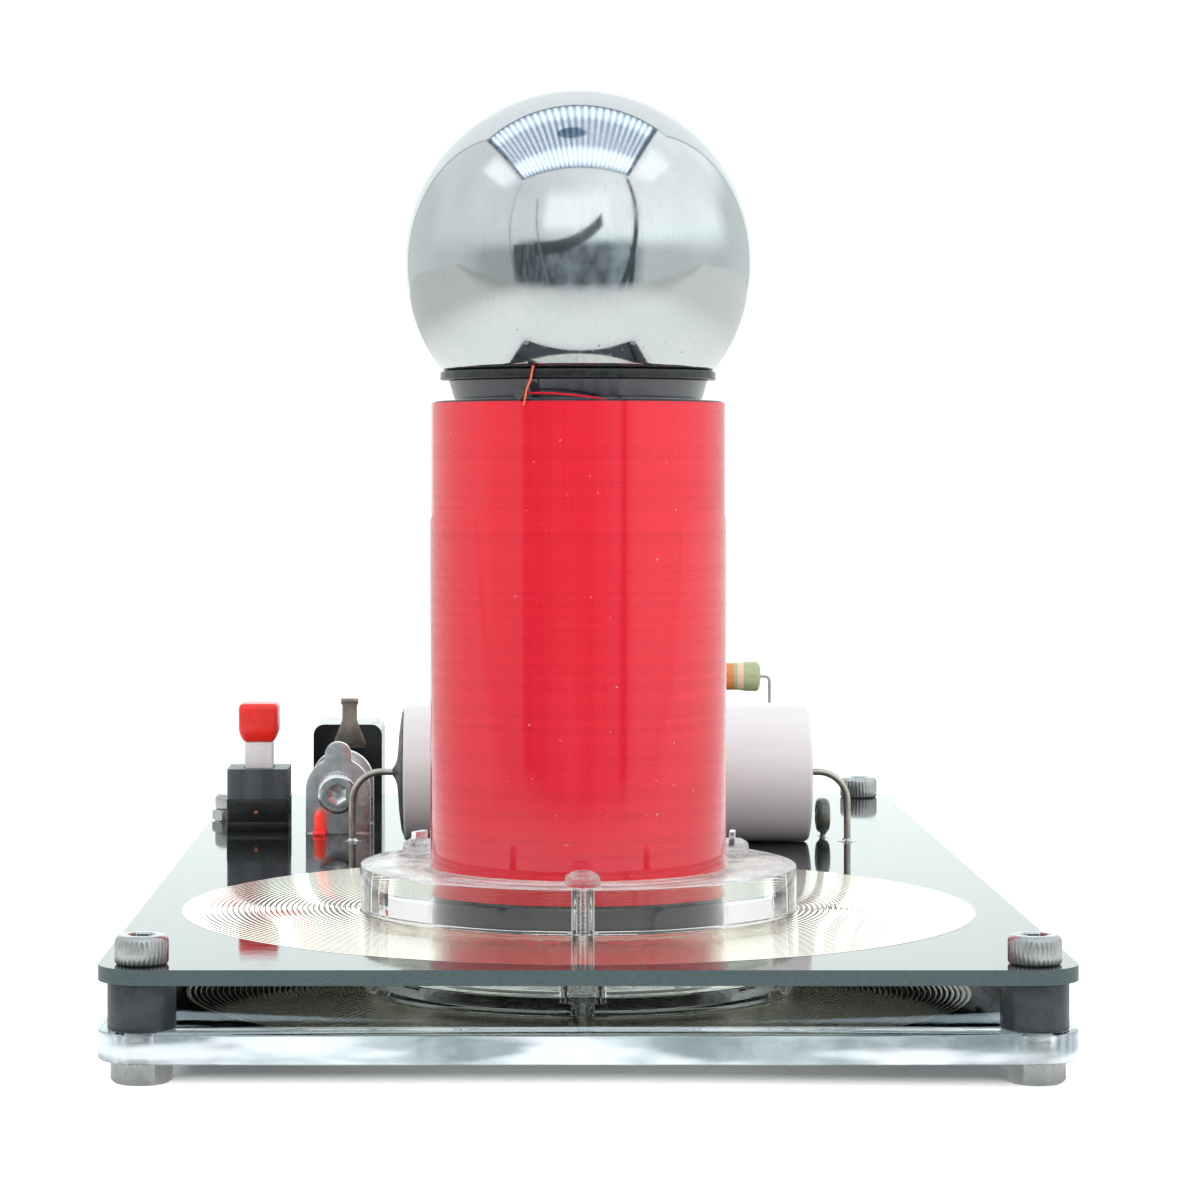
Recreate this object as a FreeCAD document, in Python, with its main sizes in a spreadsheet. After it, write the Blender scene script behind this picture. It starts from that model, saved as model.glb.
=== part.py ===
import FreeCAD, Part
import math
import os
import re
import Sketcher

# A small resonant transformer on a printed circuit board.
# Frame: X to the right, Y away from the viewer, Z up, origin at the centre of the footprint on the
# surface that the object stands on. Millimetres.
#
# Stack at the corners, from the bottom: hex nut (foot), clear base plate, spacer, circuit board,
# socket screw. The coil stands in a clear ring on the board, with the ball on top of it.

V = FreeCAD.Vector
doc = FreeCAD.newDocument("resonant_transformer")
sheet = doc.addObject("Spreadsheet::Sheet", "Sizes")

SIZES = [
    # board and base
    ("board_w", 100.0), ("board_d", 180.0), ("corner_rad", 5.0), ("board_th", 1.6), ("plate_th", 3.0),
    ("bolt_x", 45.5), ("bolt_y", 85.5), ("bolt_hole_rad", 1.6),
    ("spacer_len", 5.0), ("spacer_rad", 3.5),
    ("bolt_rad", 1.5), ("bolt_head_rad", 2.75), ("bolt_head_len", 3.0), ("bolt_key_af", 2.5),
    ("nut_af", 5.5), ("nut_len", 2.4), ("nut_bore_rad", 1.52),
    # printed spiral
    ("coil_y", -41.0), ("track_out_rad", 45.5), ("track_in_rad", 18.0), ("track_th", 0.07),
    # coil
    ("ring_rad", 25.0), ("ring_bore_rad", 17.2), ("ring_th", 5.0), ("ring_screw_rad", 21.3),
    ("small_hole_rad", 1.2), ("small_screw_rad", 1.0), ("small_head_rad", 2.0), ("small_head_len", 1.7),
    ("former_rad", 16.6), ("former_bore_rad", 15.1), ("former_len", 58.0),
    ("winding_rad", 17.0), ("winding_low", 2.4), ("winding_top", 57.8),
    ("disc_rad", 15.8), ("disc_th", 1.0), ("neck_len", 2.4), ("ball_rad", 20.0), ("ball_rise", 12.66),
    ("ball_wall", 0.8), ("wire_rad", 0.13),
    # tank capacitor
    ("cap_rad", 9.25), ("cap_len", 54.05), ("cap_x", -21.75), ("cap_y", 25.7), ("cap_lead_rad", 0.45),
    ("cap_bulge", 0.9),
    ("cap_lead_l", -28.8), ("cap_lead_r", 37.7),
    # push switch
    ("sw_x", -42.4), ("sw_y", 42.3), ("sw_w", 8.5), ("sw_low_len", 4.3), ("sw_len", 8.5),
    ("sw_stem", 3.8), ("sw_cap_w", 5.4), ("sw_cap_low", 12.1), ("sw_cap_top", 17.4),
    # power inlet
    ("in_x", -31.6), ("in_w", 10.2), ("in_d", 13.8), ("in_len", 11.7), ("in_bore_rad", 3.1), ("in_pin_rad", 1.0),
    ("in_axis", 6.4),
    # spark gap
    ("gap_x", -31.1), ("gap_y", 34.2), ("gap_span", 14.0), ("gap_plate", 1.2), ("gap_axis", 5.7), ("gap_open", 2.2),
    # choke, transformer, transistor and the rest
    ("ck_x", 15.5), ("ck_y", 45.0), ("ck_z", 20.9), ("ck_rad", 2.08), ("ck_len", 12.0),
    ("tr_x", -6.0), ("tr_y", 62.0),
    ("ts_x", 15.0), ("ts_y", 60.0),
    ("el_x", 30.5), ("el_y", 62.0), ("el_rad", 4.0), ("el_len", 11.5),
    ("gt_x", -46.6), ("gt_y", 52.0),
    ("dc_x", 34.95), ("dc_y", 31.5), ("dc_z", 2.87), ("dc_rad", 2.4), ("dc_th", 1.9), ("dc_lead_rad", 0.25),
]
for row, (alias, value) in enumerate(SIZES, start=1):
    sheet.set("A%d" % row, alias)
    sheet.set("B%d" % row, "%g" % value)
    sheet.setAlias("B%d" % row, alias)
doc.recompute()
NUM = dict(SIZES)
NAMES = set(NUM)
BOARD_LOW = "(nut_len + plate_th + spacer_len)"
TOP = "(nut_len + plate_th + spacer_len + board_th)"
top = NUM["nut_len"] + NUM["plate_th"] + NUM["spacer_len"] + NUM["board_th"]
low = top - NUM["board_th"]
NODES = []


def full(text):
    """Turn an alias expression into one that names the sheet."""
    return re.sub(r"[a-z][a-z0-9_]*", lambda m: "Sizes." + m.group(0) if m.group(0) in NAMES else m.group(0),
                  str(text).replace("TOP", TOP))


def bind(obj, **props):
    for prop, text in props.items():
        obj.setExpression(prop.replace("__", "."), full(text))
    return obj


def place(obj, x, y, z, rot=None):
    if rot is not None:
        obj.Placement = FreeCAD.Placement(V(0, 0, 0), rot)
    return bind(obj, Placement__Base__x=x, Placement__Base__y=y, Placement__Base__z=z)


ROT = {"z": None, "x": FreeCAD.Rotation(V(0, 1, 0), 90), "y": FreeCAD.Rotation(V(1, 0, 0), -90)}
count = [0]


def new(kind, name=None):
    count[0] += 1
    return doc.addObject(kind, name or "piece_%03d" % count[0])


def box(w, d, h_, x, y, z, name=None):
    """A box from its low corner."""
    return place(bind(new("Part::Box", name), Length=w, Width=d, Height=h_), x, y, z)


def cbox(w, d, h_, x, y, z, name=None):
    """A box centred on x and y, standing on z."""
    return box(w, d, h_, "%s - (%s) / 2" % (x, w), "%s - (%s) / 2" % (y, d), z, name)


def cyl(rad, length, x, y, z, axis="z", name=None):
    return place(bind(new("Part::Cylinder", name), Radius=rad, Height=length), x, y, z, ROT[axis])


def cone(rad1, rad2, length, x, y, z, axis="z"):
    return place(bind(new("Part::Cone"), Radius1=rad1, Radius2=rad2, Height=length), x, y, z, ROT[axis])


def ball(rad, x, y, z):
    return place(bind(new("Part::Sphere"), Radius=rad), x, y, z)


def hexagon(af, length, x, y, z, axis="z"):
    p = new("Part::Prism")
    p.Polygon = 6
    bind(p, Circumradius="(%s) / 2 / 0.8660254" % af, Height=length)
    return place(p, x, y, z, ROT[axis])


def fuse(parts, name=None):
    if len(parts) == 1 and name is None:
        return parts[0]
    f = new("Part::MultiFuse", name)
    f.Shapes = parts
    return f


def cut(base, tools, name=None):
    c = new("Part::Cut", name)
    c.Base = base
    c.Tool = fuse(tools) if len(tools) > 1 else tools[0]
    return c


def group(parts, name):
    g = new("Part::Compound", name)
    g.Links = parts
    return g


def node(obj, label):
    obj.Label = label
    NODES.append(obj)
    return obj


def bent(points, rad, bend):
    """A round wire along straight runs joined by tangent arcs of one radius."""
    pts = [V(*p) for p in points]
    edges, at = [], pts[0]
    for a, p, b in zip(pts, pts[1:], pts[2:]):
        u, w = (a - p).normalize(), (b - p).normalize()
        half = u.getAngle(w) / 2
        run = bend / math.tan(half)
        s_, e_ = p + u * run, p + w * run
        mid = p + (u + w).normalize() * (bend / math.sin(half) - bend)
        if (s_ - at).Length > 1e-6:
            edges.append(Part.LineSegment(at, s_).toShape())
        edges.append(Part.Arc(s_, mid, e_).toShape())
        at = e_
    edges.append(Part.LineSegment(at, pts[-1]).toShape())
    path = Part.Wire(edges)
    ring = Part.Wire([Part.Circle(pts[0], pts[1] - pts[0], rad).toShape()])
    return path.makePipeShell([ring], True, False)


def feature(shapes, label):
    f = doc.addObject("Part::Feature", label)
    f.Shape = shapes[0] if len(shapes) == 1 else Part.makeCompound(shapes)
    return node(f, label)


def plane_of(body, role):
    for f in body.Origin.OriginFeatures:
        if f.Role == role:
            return f


def body_plate(name, w, d, th, z, rad):
    """A rectangular sheet with rounded corners, centred on the origin."""
    b = doc.addObject("PartDesign::Body", name)
    sk = b.newObject("Sketcher::SketchObject", name + "_outline")
    sk.AttachmentSupport = [(plane_of(b, "XY_Plane"), "")]
    sk.MapMode = "FlatFace"
    c = [V(-50, -90, 0), V(50, -90, 0), V(50, 90, 0), V(-50, 90, 0)]
    for i in range(4):
        sk.addGeometry(Part.LineSegment(c[i], c[(i + 1) % 4]), False)
    for i in range(4):
        sk.addConstraint(Sketcher.Constraint("Coincident", i, 2, (i + 1) % 4, 1))
    for i, kind in enumerate(("Horizontal", "Vertical", "Horizontal", "Vertical")):
        sk.addConstraint(Sketcher.Constraint(kind, i))
    sk.addConstraint(Sketcher.Constraint("Symmetric", 0, 1, 2, 1, -1, 1))
    iw = sk.addConstraint(Sketcher.Constraint("DistanceX", 0, 1, 0, 2, 100.0))
    sk.setExpression("Constraints[%d]" % iw, full(w))
    idd = sk.addConstraint(Sketcher.Constraint("DistanceY", 1, 1, 1, 2, 180.0))
    sk.setExpression("Constraints[%d]" % idd, full(d))
    pad = b.newObject("PartDesign::Pad", name + "_sheet")
    pad.Profile = sk
    bind(pad, Length=th)
    doc.recompute()
    edges = ["Edge%d" % (i + 1) for i, e in enumerate(pad.Shape.Edges)
             if abs(e.Vertexes[0].Point.z - e.Vertexes[-1].Point.z) > 0.5]
    fil = b.newObject("PartDesign::Fillet", name + "_corners")
    fil.Base = (pad, edges)
    bind(fil, Radius=rad)
    b.Tip = fil
    place(b, "0", "0", z)
    doc.recompute()
    return b


def body_ring(name, rad, bore, th, x, y, z, hole_rad, hole_at, angle):
    """A flat ring with three holes on a circle, the first in front."""
    b = doc.addObject("PartDesign::Body", name)
    sk = b.newObject("Sketcher::SketchObject", name + "_outline")
    sk.AttachmentSupport = [(plane_of(b, "XY_Plane"), "")]
    sk.MapMode = "FlatFace"
    for i, (r_, e_) in enumerate(((25.0, rad), (17.0, bore))):
        g = sk.addGeometry(Part.Circle(V(0, 0, 0), V(0, 0, 1), r_), False)
        sk.addConstraint(Sketcher.Constraint("Coincident", g, 3, -1, 1))
        k = sk.addConstraint(Sketcher.Constraint("Radius", g, r_))
        sk.setExpression("Constraints[%d]" % k, full(e_))
    pad = b.newObject("PartDesign::Pad", name + "_sheet")
    pad.Profile = sk
    bind(pad, Length=th)
    doc.recompute()
    before = pad.Shape.Volume
    hs = b.newObject("Sketcher::SketchObject", name + "_hole")
    hs.AttachmentSupport = [(plane_of(b, "XY_Plane"), "")]
    hs.MapMode = "FlatFace"
    g = hs.addGeometry(Part.Circle(V(0, -21.3, 0), V(0, 0, 1), 1.2), False)
    hs.addConstraint(Sketcher.Constraint("PointOnObject", g, 3, -2))
    k = hs.addConstraint(Sketcher.Constraint("DistanceY", g, 3, -1, 1, 21.3))
    hs.setExpression("Constraints[%d]" % k, full(hole_at))
    k = hs.addConstraint(Sketcher.Constraint("Radius", g, 1.2))
    hs.setExpression("Constraints[%d]" % k, full(hole_rad))
    pocket = b.newObject("PartDesign::Pocket", name + "_bore")
    pocket.Profile = hs
    pocket.Type = "ThroughAll"
    pocket.Reversed = True
    doc.recompute()
    if before - pocket.Shape.Volume < 1.0:
        pocket.Reversed = False
        doc.recompute()
    pat = b.newObject("PartDesign::PolarPattern", name + "_bores")
    pat.Originals = [pocket]
    pat.Axis = (plane_of(b, "Z_Axis"), [""])
    pat.Angle = 360
    pat.Occurrences = 3
    b.Tip = pat
    place(b, x, y, z)
    doc.recompute()
    if abs(before - pat.Shape.Volume - 3 * (before - pocket.Shape.Volume)) > 0.5:
        raise RuntimeError(name + ": the three bores are not cut")
    return b


CORNERS = [(sx, sy) for sy in ("-", "") for sx in ("-", "")]


def at_corners(make):
    return [make("%sbolt_x" % sx, "%sbolt_y" % sy) for sx, sy in CORNERS]


# ---------------------------------------------------------------- base and board
plate = body_plate("base_sheet", "board_w", "board_d", "plate_th", "nut_len", "corner_rad")
node(cut(plate, at_corners(lambda x, y: cyl("bolt_hole_rad", "plate_th + 2", x, y, "nut_len - 1")), "base_plate"),
     "base_plate")

board = body_plate("board_sheet", "board_w", "board_d", "board_th", BOARD_LOW, "corner_rad")
HOLES = [("%sbolt_x" % sx, "%sbolt_y" % sy, "bolt_hole_rad") for sx, sy in CORNERS]


def hole(x, y, rad):
    """Ask for a hole through the circuit board."""
    HOLES.append((x, y, rad))


ANG = [(0.0, -1.0), (0.8660254, 0.5), (-0.8660254, 0.5)]
RING_SCREWS = [("ring_screw_rad * %g" % c, "coil_y + ring_screw_rad * %g" % s) for c, s in ANG]
for x, y in RING_SCREWS:
    hole(x, y, "small_hole_rad")


def track(z):
    tools = [cyl("track_in_rad", "track_th + 2", "0", "coil_y", z + " - 1")]
    tools += [cyl("small_hole_rad", "track_th + 2", x, y, z + " - 1") for x, y in RING_SCREWS]
    return cut(cyl("track_out_rad", "track_th", "0", "coil_y", z), tools)


node(track("TOP"), "primary_track_top")
node(track("TOP - board_th - track_th"), "primary_track_bottom")

node(group(at_corners(lambda x, y: cut(cyl("spacer_rad", "spacer_len", x, y, "nut_len + plate_th"),
                                       [cyl("bolt_hole_rad", "spacer_len + 2", x, y, "nut_len + plate_th - 1")])),
           "spacer_group"), "corner_spacers")


def socket_screw(x, y):
    head = cyl("bolt_head_rad", "bolt_head_len", x, y, "TOP")
    bevel = fuse([head, cyl("bolt_rad", "TOP - 0.3", x, y, "0.3")])
    return cut(bevel, [hexagon("bolt_key_af", "bolt_head_len", x, y, "TOP + 1.5")])


node(group(at_corners(socket_screw), "bolt_group"), "corner_bolts")


def foot_nut(x, y):
    body = hexagon("nut_af", "nut_len", x, y, "0")
    bevel = cone("nut_af / 2 + 0.05", "nut_af / 2 + 2.45", "nut_len * 1", x, y, "0")
    return cut(fuse([new_common(body, bevel)]), [cyl("nut_bore_rad", "nut_len + 2", x, y, "-1")])


def new_common(a, b):
    c = new("Part::MultiCommon")
    c.Shapes = [a, b]
    return c


node(group(at_corners(foot_nut), "nut_group"), "foot_nuts")

# ---------------------------------------------------------------- coil
ring = body_ring("ring_body", "ring_rad", "ring_bore_rad", "ring_th - track_th", "0", "coil_y", "TOP + track_th",
                 "small_hole_rad", "ring_screw_rad", 3)
node(ring, "coil_base_ring")
lower = body_ring("lower_body", "ring_rad", "ring_bore_rad", "spacer_len - 0.05 - track_th", "0", "coil_y",
                  "nut_len + plate_th + 0.05", "small_hole_rad", "ring_screw_rad", 3)
node(cut(lower, [cyl("2.45", "2.05", x, y, "nut_len + plate_th - 0.1") for x, y in RING_SCREWS], "lower_ring_cut"),
     "coil_lower_ring")


def pan_screw(x, y):
    z = "TOP + ring_th"
    dome = new_common(cyl("small_head_rad", "small_head_len", x, y, z),
                      ball("small_head_rad * 1.25", x, y, z + " + small_head_len - small_head_rad * 1.25"))
    shank = cyl("small_screw_rad", "TOP + ring_th - nut_len - plate_th - 0.3", x, y, "nut_len + plate_th + 0.3")
    slots = [cbox("0.7", "small_head_rad * 1.3", "1.5", x, y, z + " + small_head_len - 0.75"),
             cbox("small_head_rad * 1.3", "0.7", "1.5", x, y, z + " + small_head_len - 0.75")]
    return cut(fuse([dome, shank]), slots)


node(group([pan_screw(x, y) for x, y in RING_SCREWS], "ring_screw_group"), "base_screws")
node(group([cut(hexagon("4.0", "1.6", x, y, "nut_len + plate_th + 0.25"),
                [cyl("small_screw_rad + 0.02", "3", x, y, "nut_len + plate_th - 0.5")]) for x, y in RING_SCREWS],
           "ring_nut_group"), "base_screw_nuts")

node(cut(cyl("former_rad", "former_len", "0", "coil_y", "TOP"),
         [cyl("former_bore_rad", "former_len + 2", "0", "coil_y", "TOP - 1")], "former_cut"), "secondary_former")
node(cut(cyl("winding_rad", "winding_top - winding_low", "0", "coil_y", "TOP + winding_low"),
         [cyl("former_rad", "winding_top + 2", "0", "coil_y", "TOP")], "winding_cut"), "secondary_winding")

plug_top = "TOP + former_len + neck_len"
node(fuse([cyl("former_bore_rad - 0.05", "8.0", "0", "coil_y", "TOP + former_len - 8.2"),
           cone("14.2", "14.95", "neck_len + 0.2", "0", "coil_y", "TOP + former_len - 0.2")], "plug_fuse"), "coil_top_plug")
node(cyl("disc_rad", "disc_th", "0", "coil_y", plug_top, name="disc_cyl"), "top_disc")
# hollow ball, pressed flat where it sits on the disc
ball_low = plug_top + " + disc_th"
outer = ball("ball_rad", "0", "coil_y", ball_low + " + ball_rise")
inner = ball("ball_rad - ball_wall", "0", "coil_y", ball_low + " + ball_rise")
below = cbox("60", "60", "30", "0", "coil_y", ball_low + " - 30")
below2 = cbox("60", "60", "30", "0", "coil_y", ball_low + " - 30 + ball_wall")
node(cut(cut(outer, [below]), [cut(inner, [below2])], "ball_cut"), "discharge_ball")

cy = NUM["coil_y"]
wr = NUM["wire_rad"]
zt = top + NUM["winding_top"]
feature([bent([(-6.35, cy - 16.05, zt - 0.5), (-6.1, cy - 15.92, zt + 1.1), (-5.6, cy - 15.35, zt + 2.4),
               (-5.3, cy - 15.13, zt + 3.9)], wr, 0.5)], "secondary_top_lead")
ga = math.radians(100)
gx, gy = 16.9 * math.cos(ga), cy + 16.9 * math.sin(ga)
feature([bent([(gx, gy, top + NUM["winding_low"] - 0.02), (gx, gy, top + 0.01)], wr, 0.3)], "secondary_ground_lead")

# ---------------------------------------------------------------- tank capacitor
CZ = "TOP + cap_rad + 0.05"
cz = top + NUM["cap_rad"] + 0.05
node(cut(cyl("cap_rad", "cap_len", "cap_x", "cap_y", CZ, "x"),
         [cyl("cap_rad - 0.5", "1.2", "cap_x - 0.2", "cap_y", CZ, "x"),
          cyl("cap_rad - 0.5", "1.2", "cap_x + cap_len - 1.0", "cap_y", CZ, "x")], "cap_wrap"), "tank_capacitor_body")
# resin fills each end, and bulges out round the left lead
node(group([cut(fuse([cyl("cap_rad - 0.52", "0.8", "cap_x + 0.18", "cap_y", CZ, "x"),
                      cone("1.0", "cap_rad - 0.52", "cap_bulge + 0.2", "cap_x - cap_bulge", "cap_y", CZ, "x")]),
                [cyl("cap_lead_rad + 0.02", "4", "cap_x - 2", "cap_y", CZ, "x")]),
            cut(cyl("cap_rad - 0.52", "0.8", "cap_x + cap_len - 0.98", "cap_y", CZ, "x"),
                [cyl("cap_lead_rad + 0.02", "4", "cap_x + cap_len - 2", "cap_y", CZ, "x")])], "cap_fill_group"),
     "tank_capacitor_ends")
cx0, cx1, ccy = NUM["cap_x"], NUM["cap_x"] + NUM["cap_len"], NUM["cap_y"]
feature([bent([(cx0 + 0.99, ccy, cz), (NUM["cap_lead_l"], ccy, cz), (NUM["cap_lead_l"], ccy, low - 1.2)],
              NUM["cap_lead_rad"], 4.0),
         bent([(cx1 - 0.99, ccy, cz), (NUM["cap_lead_r"], ccy, cz), (NUM["cap_lead_r"], ccy, low - 1.2)],
              NUM["cap_lead_rad"], 3.9)], "tank_capacitor_leads")
hole("cap_lead_l", "cap_y", "0.65")
hole("cap_lead_r", "cap_y", "0.65")

# small disc capacitor beside its right lead, on edge to the viewer
DZ = "TOP + dc_z"
dc_ends = ["dc_y - 1.2", "dc_y + 1.2"]
node(cut(new_common(cyl("dc_rad", "dc_th", "dc_x - dc_th / 2", "dc_y", DZ, "x"), ball("dc_rad + 0.1", "dc_x", "dc_y", DZ)),
         [cyl("dc_lead_rad + 0.02", "1.6", "dc_x", y, "TOP + 0.2") for y in dc_ends], "disc_cap_cut"), "disc_capacitor")
node(group([cyl("dc_lead_rad", "board_th + 1.2 + 1.75", "dc_x", y, "TOP - board_th - 1.2") for y in dc_ends],
           "disc_cap_lead_group"), "disc_capacitor_leads")
for y in dc_ends:
    hole("dc_x", y, "0.4")

# ---------------------------------------------------------------- push switch
# housing with an open well, metal frame over it, stem with a collar, return spring, cap
node(cut(cbox("sw_w", "sw_w", "sw_low_len", "sw_x", "sw_y", "TOP"),
         [cbox("6.5", "6.5", "10", "sw_x", "sw_y", "TOP + 1.2")], "sw_house_cut"), "switch_housing")
node(cut(cbox("sw_w - 0.1", "sw_w - 0.1", "sw_len - sw_low_len", "sw_x", "sw_y", "TOP + sw_low_len"),
         [cbox("6.5", "6.5", "sw_len - sw_low_len - 0.4", "sw_x", "sw_y", "TOP + sw_low_len"),
          cbox("sw_stem + 0.4", "sw_stem + 0.4", "20", "sw_x", "sw_y", "TOP + sw_low_len")], "sw_frame_cut"),
     "switch_frame")
node(fuse([cbox("sw_stem", "sw_stem", "sw_cap_low - 6.9", "sw_x", "sw_y", "TOP + 6.9"),
           cbox("5.9", "5.9", "0.9", "sw_x", "sw_y", "TOP + 6.9"),
           cyl("1.4", "2.8", "sw_x", "sw_y", "TOP + 4.2"),
           cbox("2.4", "2.4", "2.5", "sw_x", "sw_y", "TOP + sw_cap_low - 0.1")], "sw_stem_fuse"), "switch_plunger")
wedge = new("Part::Wedge", "cap_wedge")
wedge.Xmin, wedge.Zmin, wedge.X2min, wedge.Z2min = 0.6, 0.6, 0.0, 0.0
wedge.Ymin, wedge.Ymax = 0.0, 1.4
bind(wedge, Xmax="sw_cap_w - 0.6", Zmax="sw_cap_w - 0.6", X2max="sw_cap_w", Z2max="sw_cap_w")
place(wedge, "sw_x - sw_cap_w / 2", "sw_y + sw_cap_w / 2", "TOP + sw_cap_low", FreeCAD.Rotation(V(1, 0, 0), 90))
node(cut(fuse([wedge, cbox("sw_cap_w", "sw_cap_w", "sw_cap_top - sw_cap_low - 1.4", "sw_x", "sw_y",
                           "TOP + sw_cap_low + 1.4")]),
         [cbox("2.5", "2.5", "2.6", "sw_x", "sw_y", "TOP + sw_cap_low - 0.1")], "sw_cap_cut"), "switch_cap")
node(cut(cyl("2.5", "5.65", "sw_x", "sw_y", "TOP + 1.22"), [cyl("1.9", "8", "sw_x", "sw_y", "TOP + 1")],
         "sw_spring_cut"), "switch_spring")
pins = []
for px in (-2.5, 0, 2.5):
    for py in (-2.5, 2.5):
        pins.append(cyl("0.35", "3.6", "sw_x + %g" % px, "sw_y + %g" % py, "TOP - board_th - 1.0 - 1.0"))
        hole("sw_x + %g" % px, "sw_y + %g" % py, "0.5")
node(group(pins, "sw_pin_group"), "switch_pins")

# ---------------------------------------------------------------- power inlet, mouth to the back
iy = "board_d / 2 - in_d"
shell = fuse([box("in_w", "in_d", "in_len - 1.6", "in_x - in_w / 2", iy, "TOP"),
              box("in_w - 3.2", "in_d", "in_len", "in_x - in_w / 2 + 1.6", iy, "TOP"),
              cyl("1.6", "in_d", "in_x - in_w / 2 + 1.6", iy, "TOP + in_len - 1.6", "y"),
              cyl("1.6", "in_d", "in_x + in_w / 2 - 1.6", iy, "TOP + in_len - 1.6", "y")])
node(cut(shell, [cyl("in_bore_rad", "in_d", "in_x", iy + " + 4.0", "TOP + in_axis", "y"),
                 cyl("in_pin_rad + 0.02", "in_d", "in_x", iy + " + 1.0", "TOP + in_axis", "y"),
                 cyl("1.02", "2", "gap_x + 1.0", iy + " - 1.6", "TOP + 5.8", "y"),
                 box("2.26", "1.04", "6", "in_x - 0.83", iy + " - 0.5", "TOP + in_len - 4.0")], "inlet_cut"),
     "power_inlet_housing")
node(fuse([cyl("in_pin_rad", "in_d - 2.6", "in_x", iy + " + 1.05", "TOP + in_axis", "y"),
           ball("in_pin_rad", "in_x", iy + " + 1.05 + in_d - 2.6", "TOP + in_axis")], "inlet_pin_fuse"), "power_inlet_pin")
tongue = fuse([box("2.2", "0.5", "7.2", "in_x - 0.8", iy + " + 0.02", "TOP + in_len - 3.9"),
               box("2.6", "0.9", "0.8", "in_x - 1.0", iy + " + 0.02", "TOP + in_len + 3.1")])
rivet = cyl("1.0", "0.6", "gap_x + 1.0", iy + " - 0.25", "TOP + 5.8", "y")
tabs = []
for tx, ty in (("in_x", iy + " + 2.5"), ("in_x", iy + " + 8.5"), ("in_x - 4.0", iy + " + 5.5")):
    tabs.append(cyl("0.5", "2.9", tx, ty, "TOP - board_th - 1.3"))
    hole(tx, ty, "0.65")
node(group([tongue, rivet] + tabs, "inlet_metal_group"), "power_inlet_terminals")

# ---------------------------------------------------------------- spark gap
# two upright plates soldered to the board; a screw with a domed tip in each, tip to tip
GZ = "TOP + gap_axis"


def gap_plate(y, tall, name, bore):
    solids = [cbox("8.8", "gap_plate", "6.0", "gap_x", y, "TOP + 0.02"),
              cyl("4.4", "gap_plate", "gap_x", y + " - gap_plate / 2", "TOP + 6.0", "y")]
    if tall:
        solids += [cbox("3.6", "gap_plate", "6.8", "gap_x", y, "TOP + 4.0"),
                   cyl("1.8", "gap_plate", "gap_x", y + " - gap_plate / 2", "TOP + 10.8", "y")]
    low_box = cbox("9.4", "gap_plate + 2", "8", "gap_x", y, "TOP - 7.98")
    plate_ = cut(fuse(solids), [cyl(bore, "gap_plate + 2", "gap_x", y + " - gap_plate / 2 - 1", GZ, "y"), low_box])
    legs = []
    for lx in ("-3.3", "+3.3"):
        legs.append(cyl("0.55", "board_th + 1.4", "gap_x " + lx, y, "TOP - board_th - 1.3"))
        hole("gap_x " + lx, y, "0.7")
    return fuse([plate_] + legs, name)


y1 = "(gap_y + gap_plate / 2)"
y2 = "(gap_y + gap_span)"
node(gap_plate(y1, True, "gap_front_fuse", "1.5"), "gap_bracket_front")
node(gap_plate(y2, False, "gap_rear_fuse", "1.55"), "gap_bracket_rear")
tip1 = "(gap_y + gap_span / 2 - gap_open / 2)"
tip2 = "(gap_y + gap_span / 2 + gap_open / 2)"
fixed = fuse([cyl("2.75", "3.0", "gap_x", "gap_y - 3.0", GZ, "y"),
              cyl("1.5", tip1 + " - gap_y - 1.0", "gap_x", "gap_y - 0.5", GZ, "y"),
              cyl("2.2", "2.4", "gap_x", tip1 + " - 4.0", GZ, "y"),
              ball("2.2", "gap_x", tip1 + " - 2.2", GZ)])
fixed = cut(fixed, [hexagon("2.5", "1.6", "gap_x", "gap_y - 3.1", GZ, "y")], "gap_fixed_cut")
node(fixed, "gap_fixed_electrode")
mover = fuse([ball("2.2", "gap_x", tip2 + " + 2.2", GZ),
              cyl("2.2", "1.8", "gap_x", tip2 + " + 2.2", GZ, "y"),
              cyl("1.5", y2 + " + 6.0 - " + tip2, "gap_x", tip2 + " + 2.2", GZ, "y"),
              cyl("2.75", "3.0", "gap_x", y2 + " + 6.5", GZ, "y")])
mover = cut(mover, [hexagon("2.5", "1.6", "gap_x", y2 + " + 8.0", GZ, "y")], "gap_mover_cut")
node(mover, "gap_adjust_electrode")
node(cut(hexagon("5.5", "1.8", "gap_x", y2 + " + gap_plate / 2 + 0.01", GZ, "y"),
         [cyl("1.55", "6", "gap_x", y2, GZ, "y")], "gap_nut_cut"), "gap_lock_nut")

# ---------------------------------------------------------------- indicator light
LX, LY = "-33.6", "33.0"
node(fuse([cyl("0.73", "2.3", LX, LY, "TOP + 0.35"), ball("0.73", LX, LY, "TOP + 2.65"),
           cyl("0.92", "0.4", LX, LY, "TOP + 0.1")], "led_fuse"), "indicator_led")
node(group([cyl("0.2", "2.6", "-34.1", LY, "TOP - board_th - 0.9"), cyl("0.2", "2.6", "-33.1", LY, "TOP - board_th - 0.9")],
           "led_lead_group"), "indicator_led_leads")
hole("-34.1", LY, "0.32")
hole("-33.1", LY, "0.32")


# ---------------------------------------------------------------- axial parts
def axial_leads(x0, x1, y, z, wire, over, bend):
    """Two leads from the ends of a body that lies along X, bent down through the board."""
    hole("%g" % (x0 - over), "%g" % y, "%g" % (wire + 0.15))
    hole("%g" % (x1 + over), "%g" % y, "%g" % (wire + 0.15))
    return [bent([(x0 - 0.005, y, z), (x0 - over, y, z), (x0 - over, y, low - 1.0)], wire, bend),
            bent([(x1 + 0.005, y, z), (x1 + over, y, z), (x1 + over, y, low - 1.0)], wire, bend)]


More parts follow.
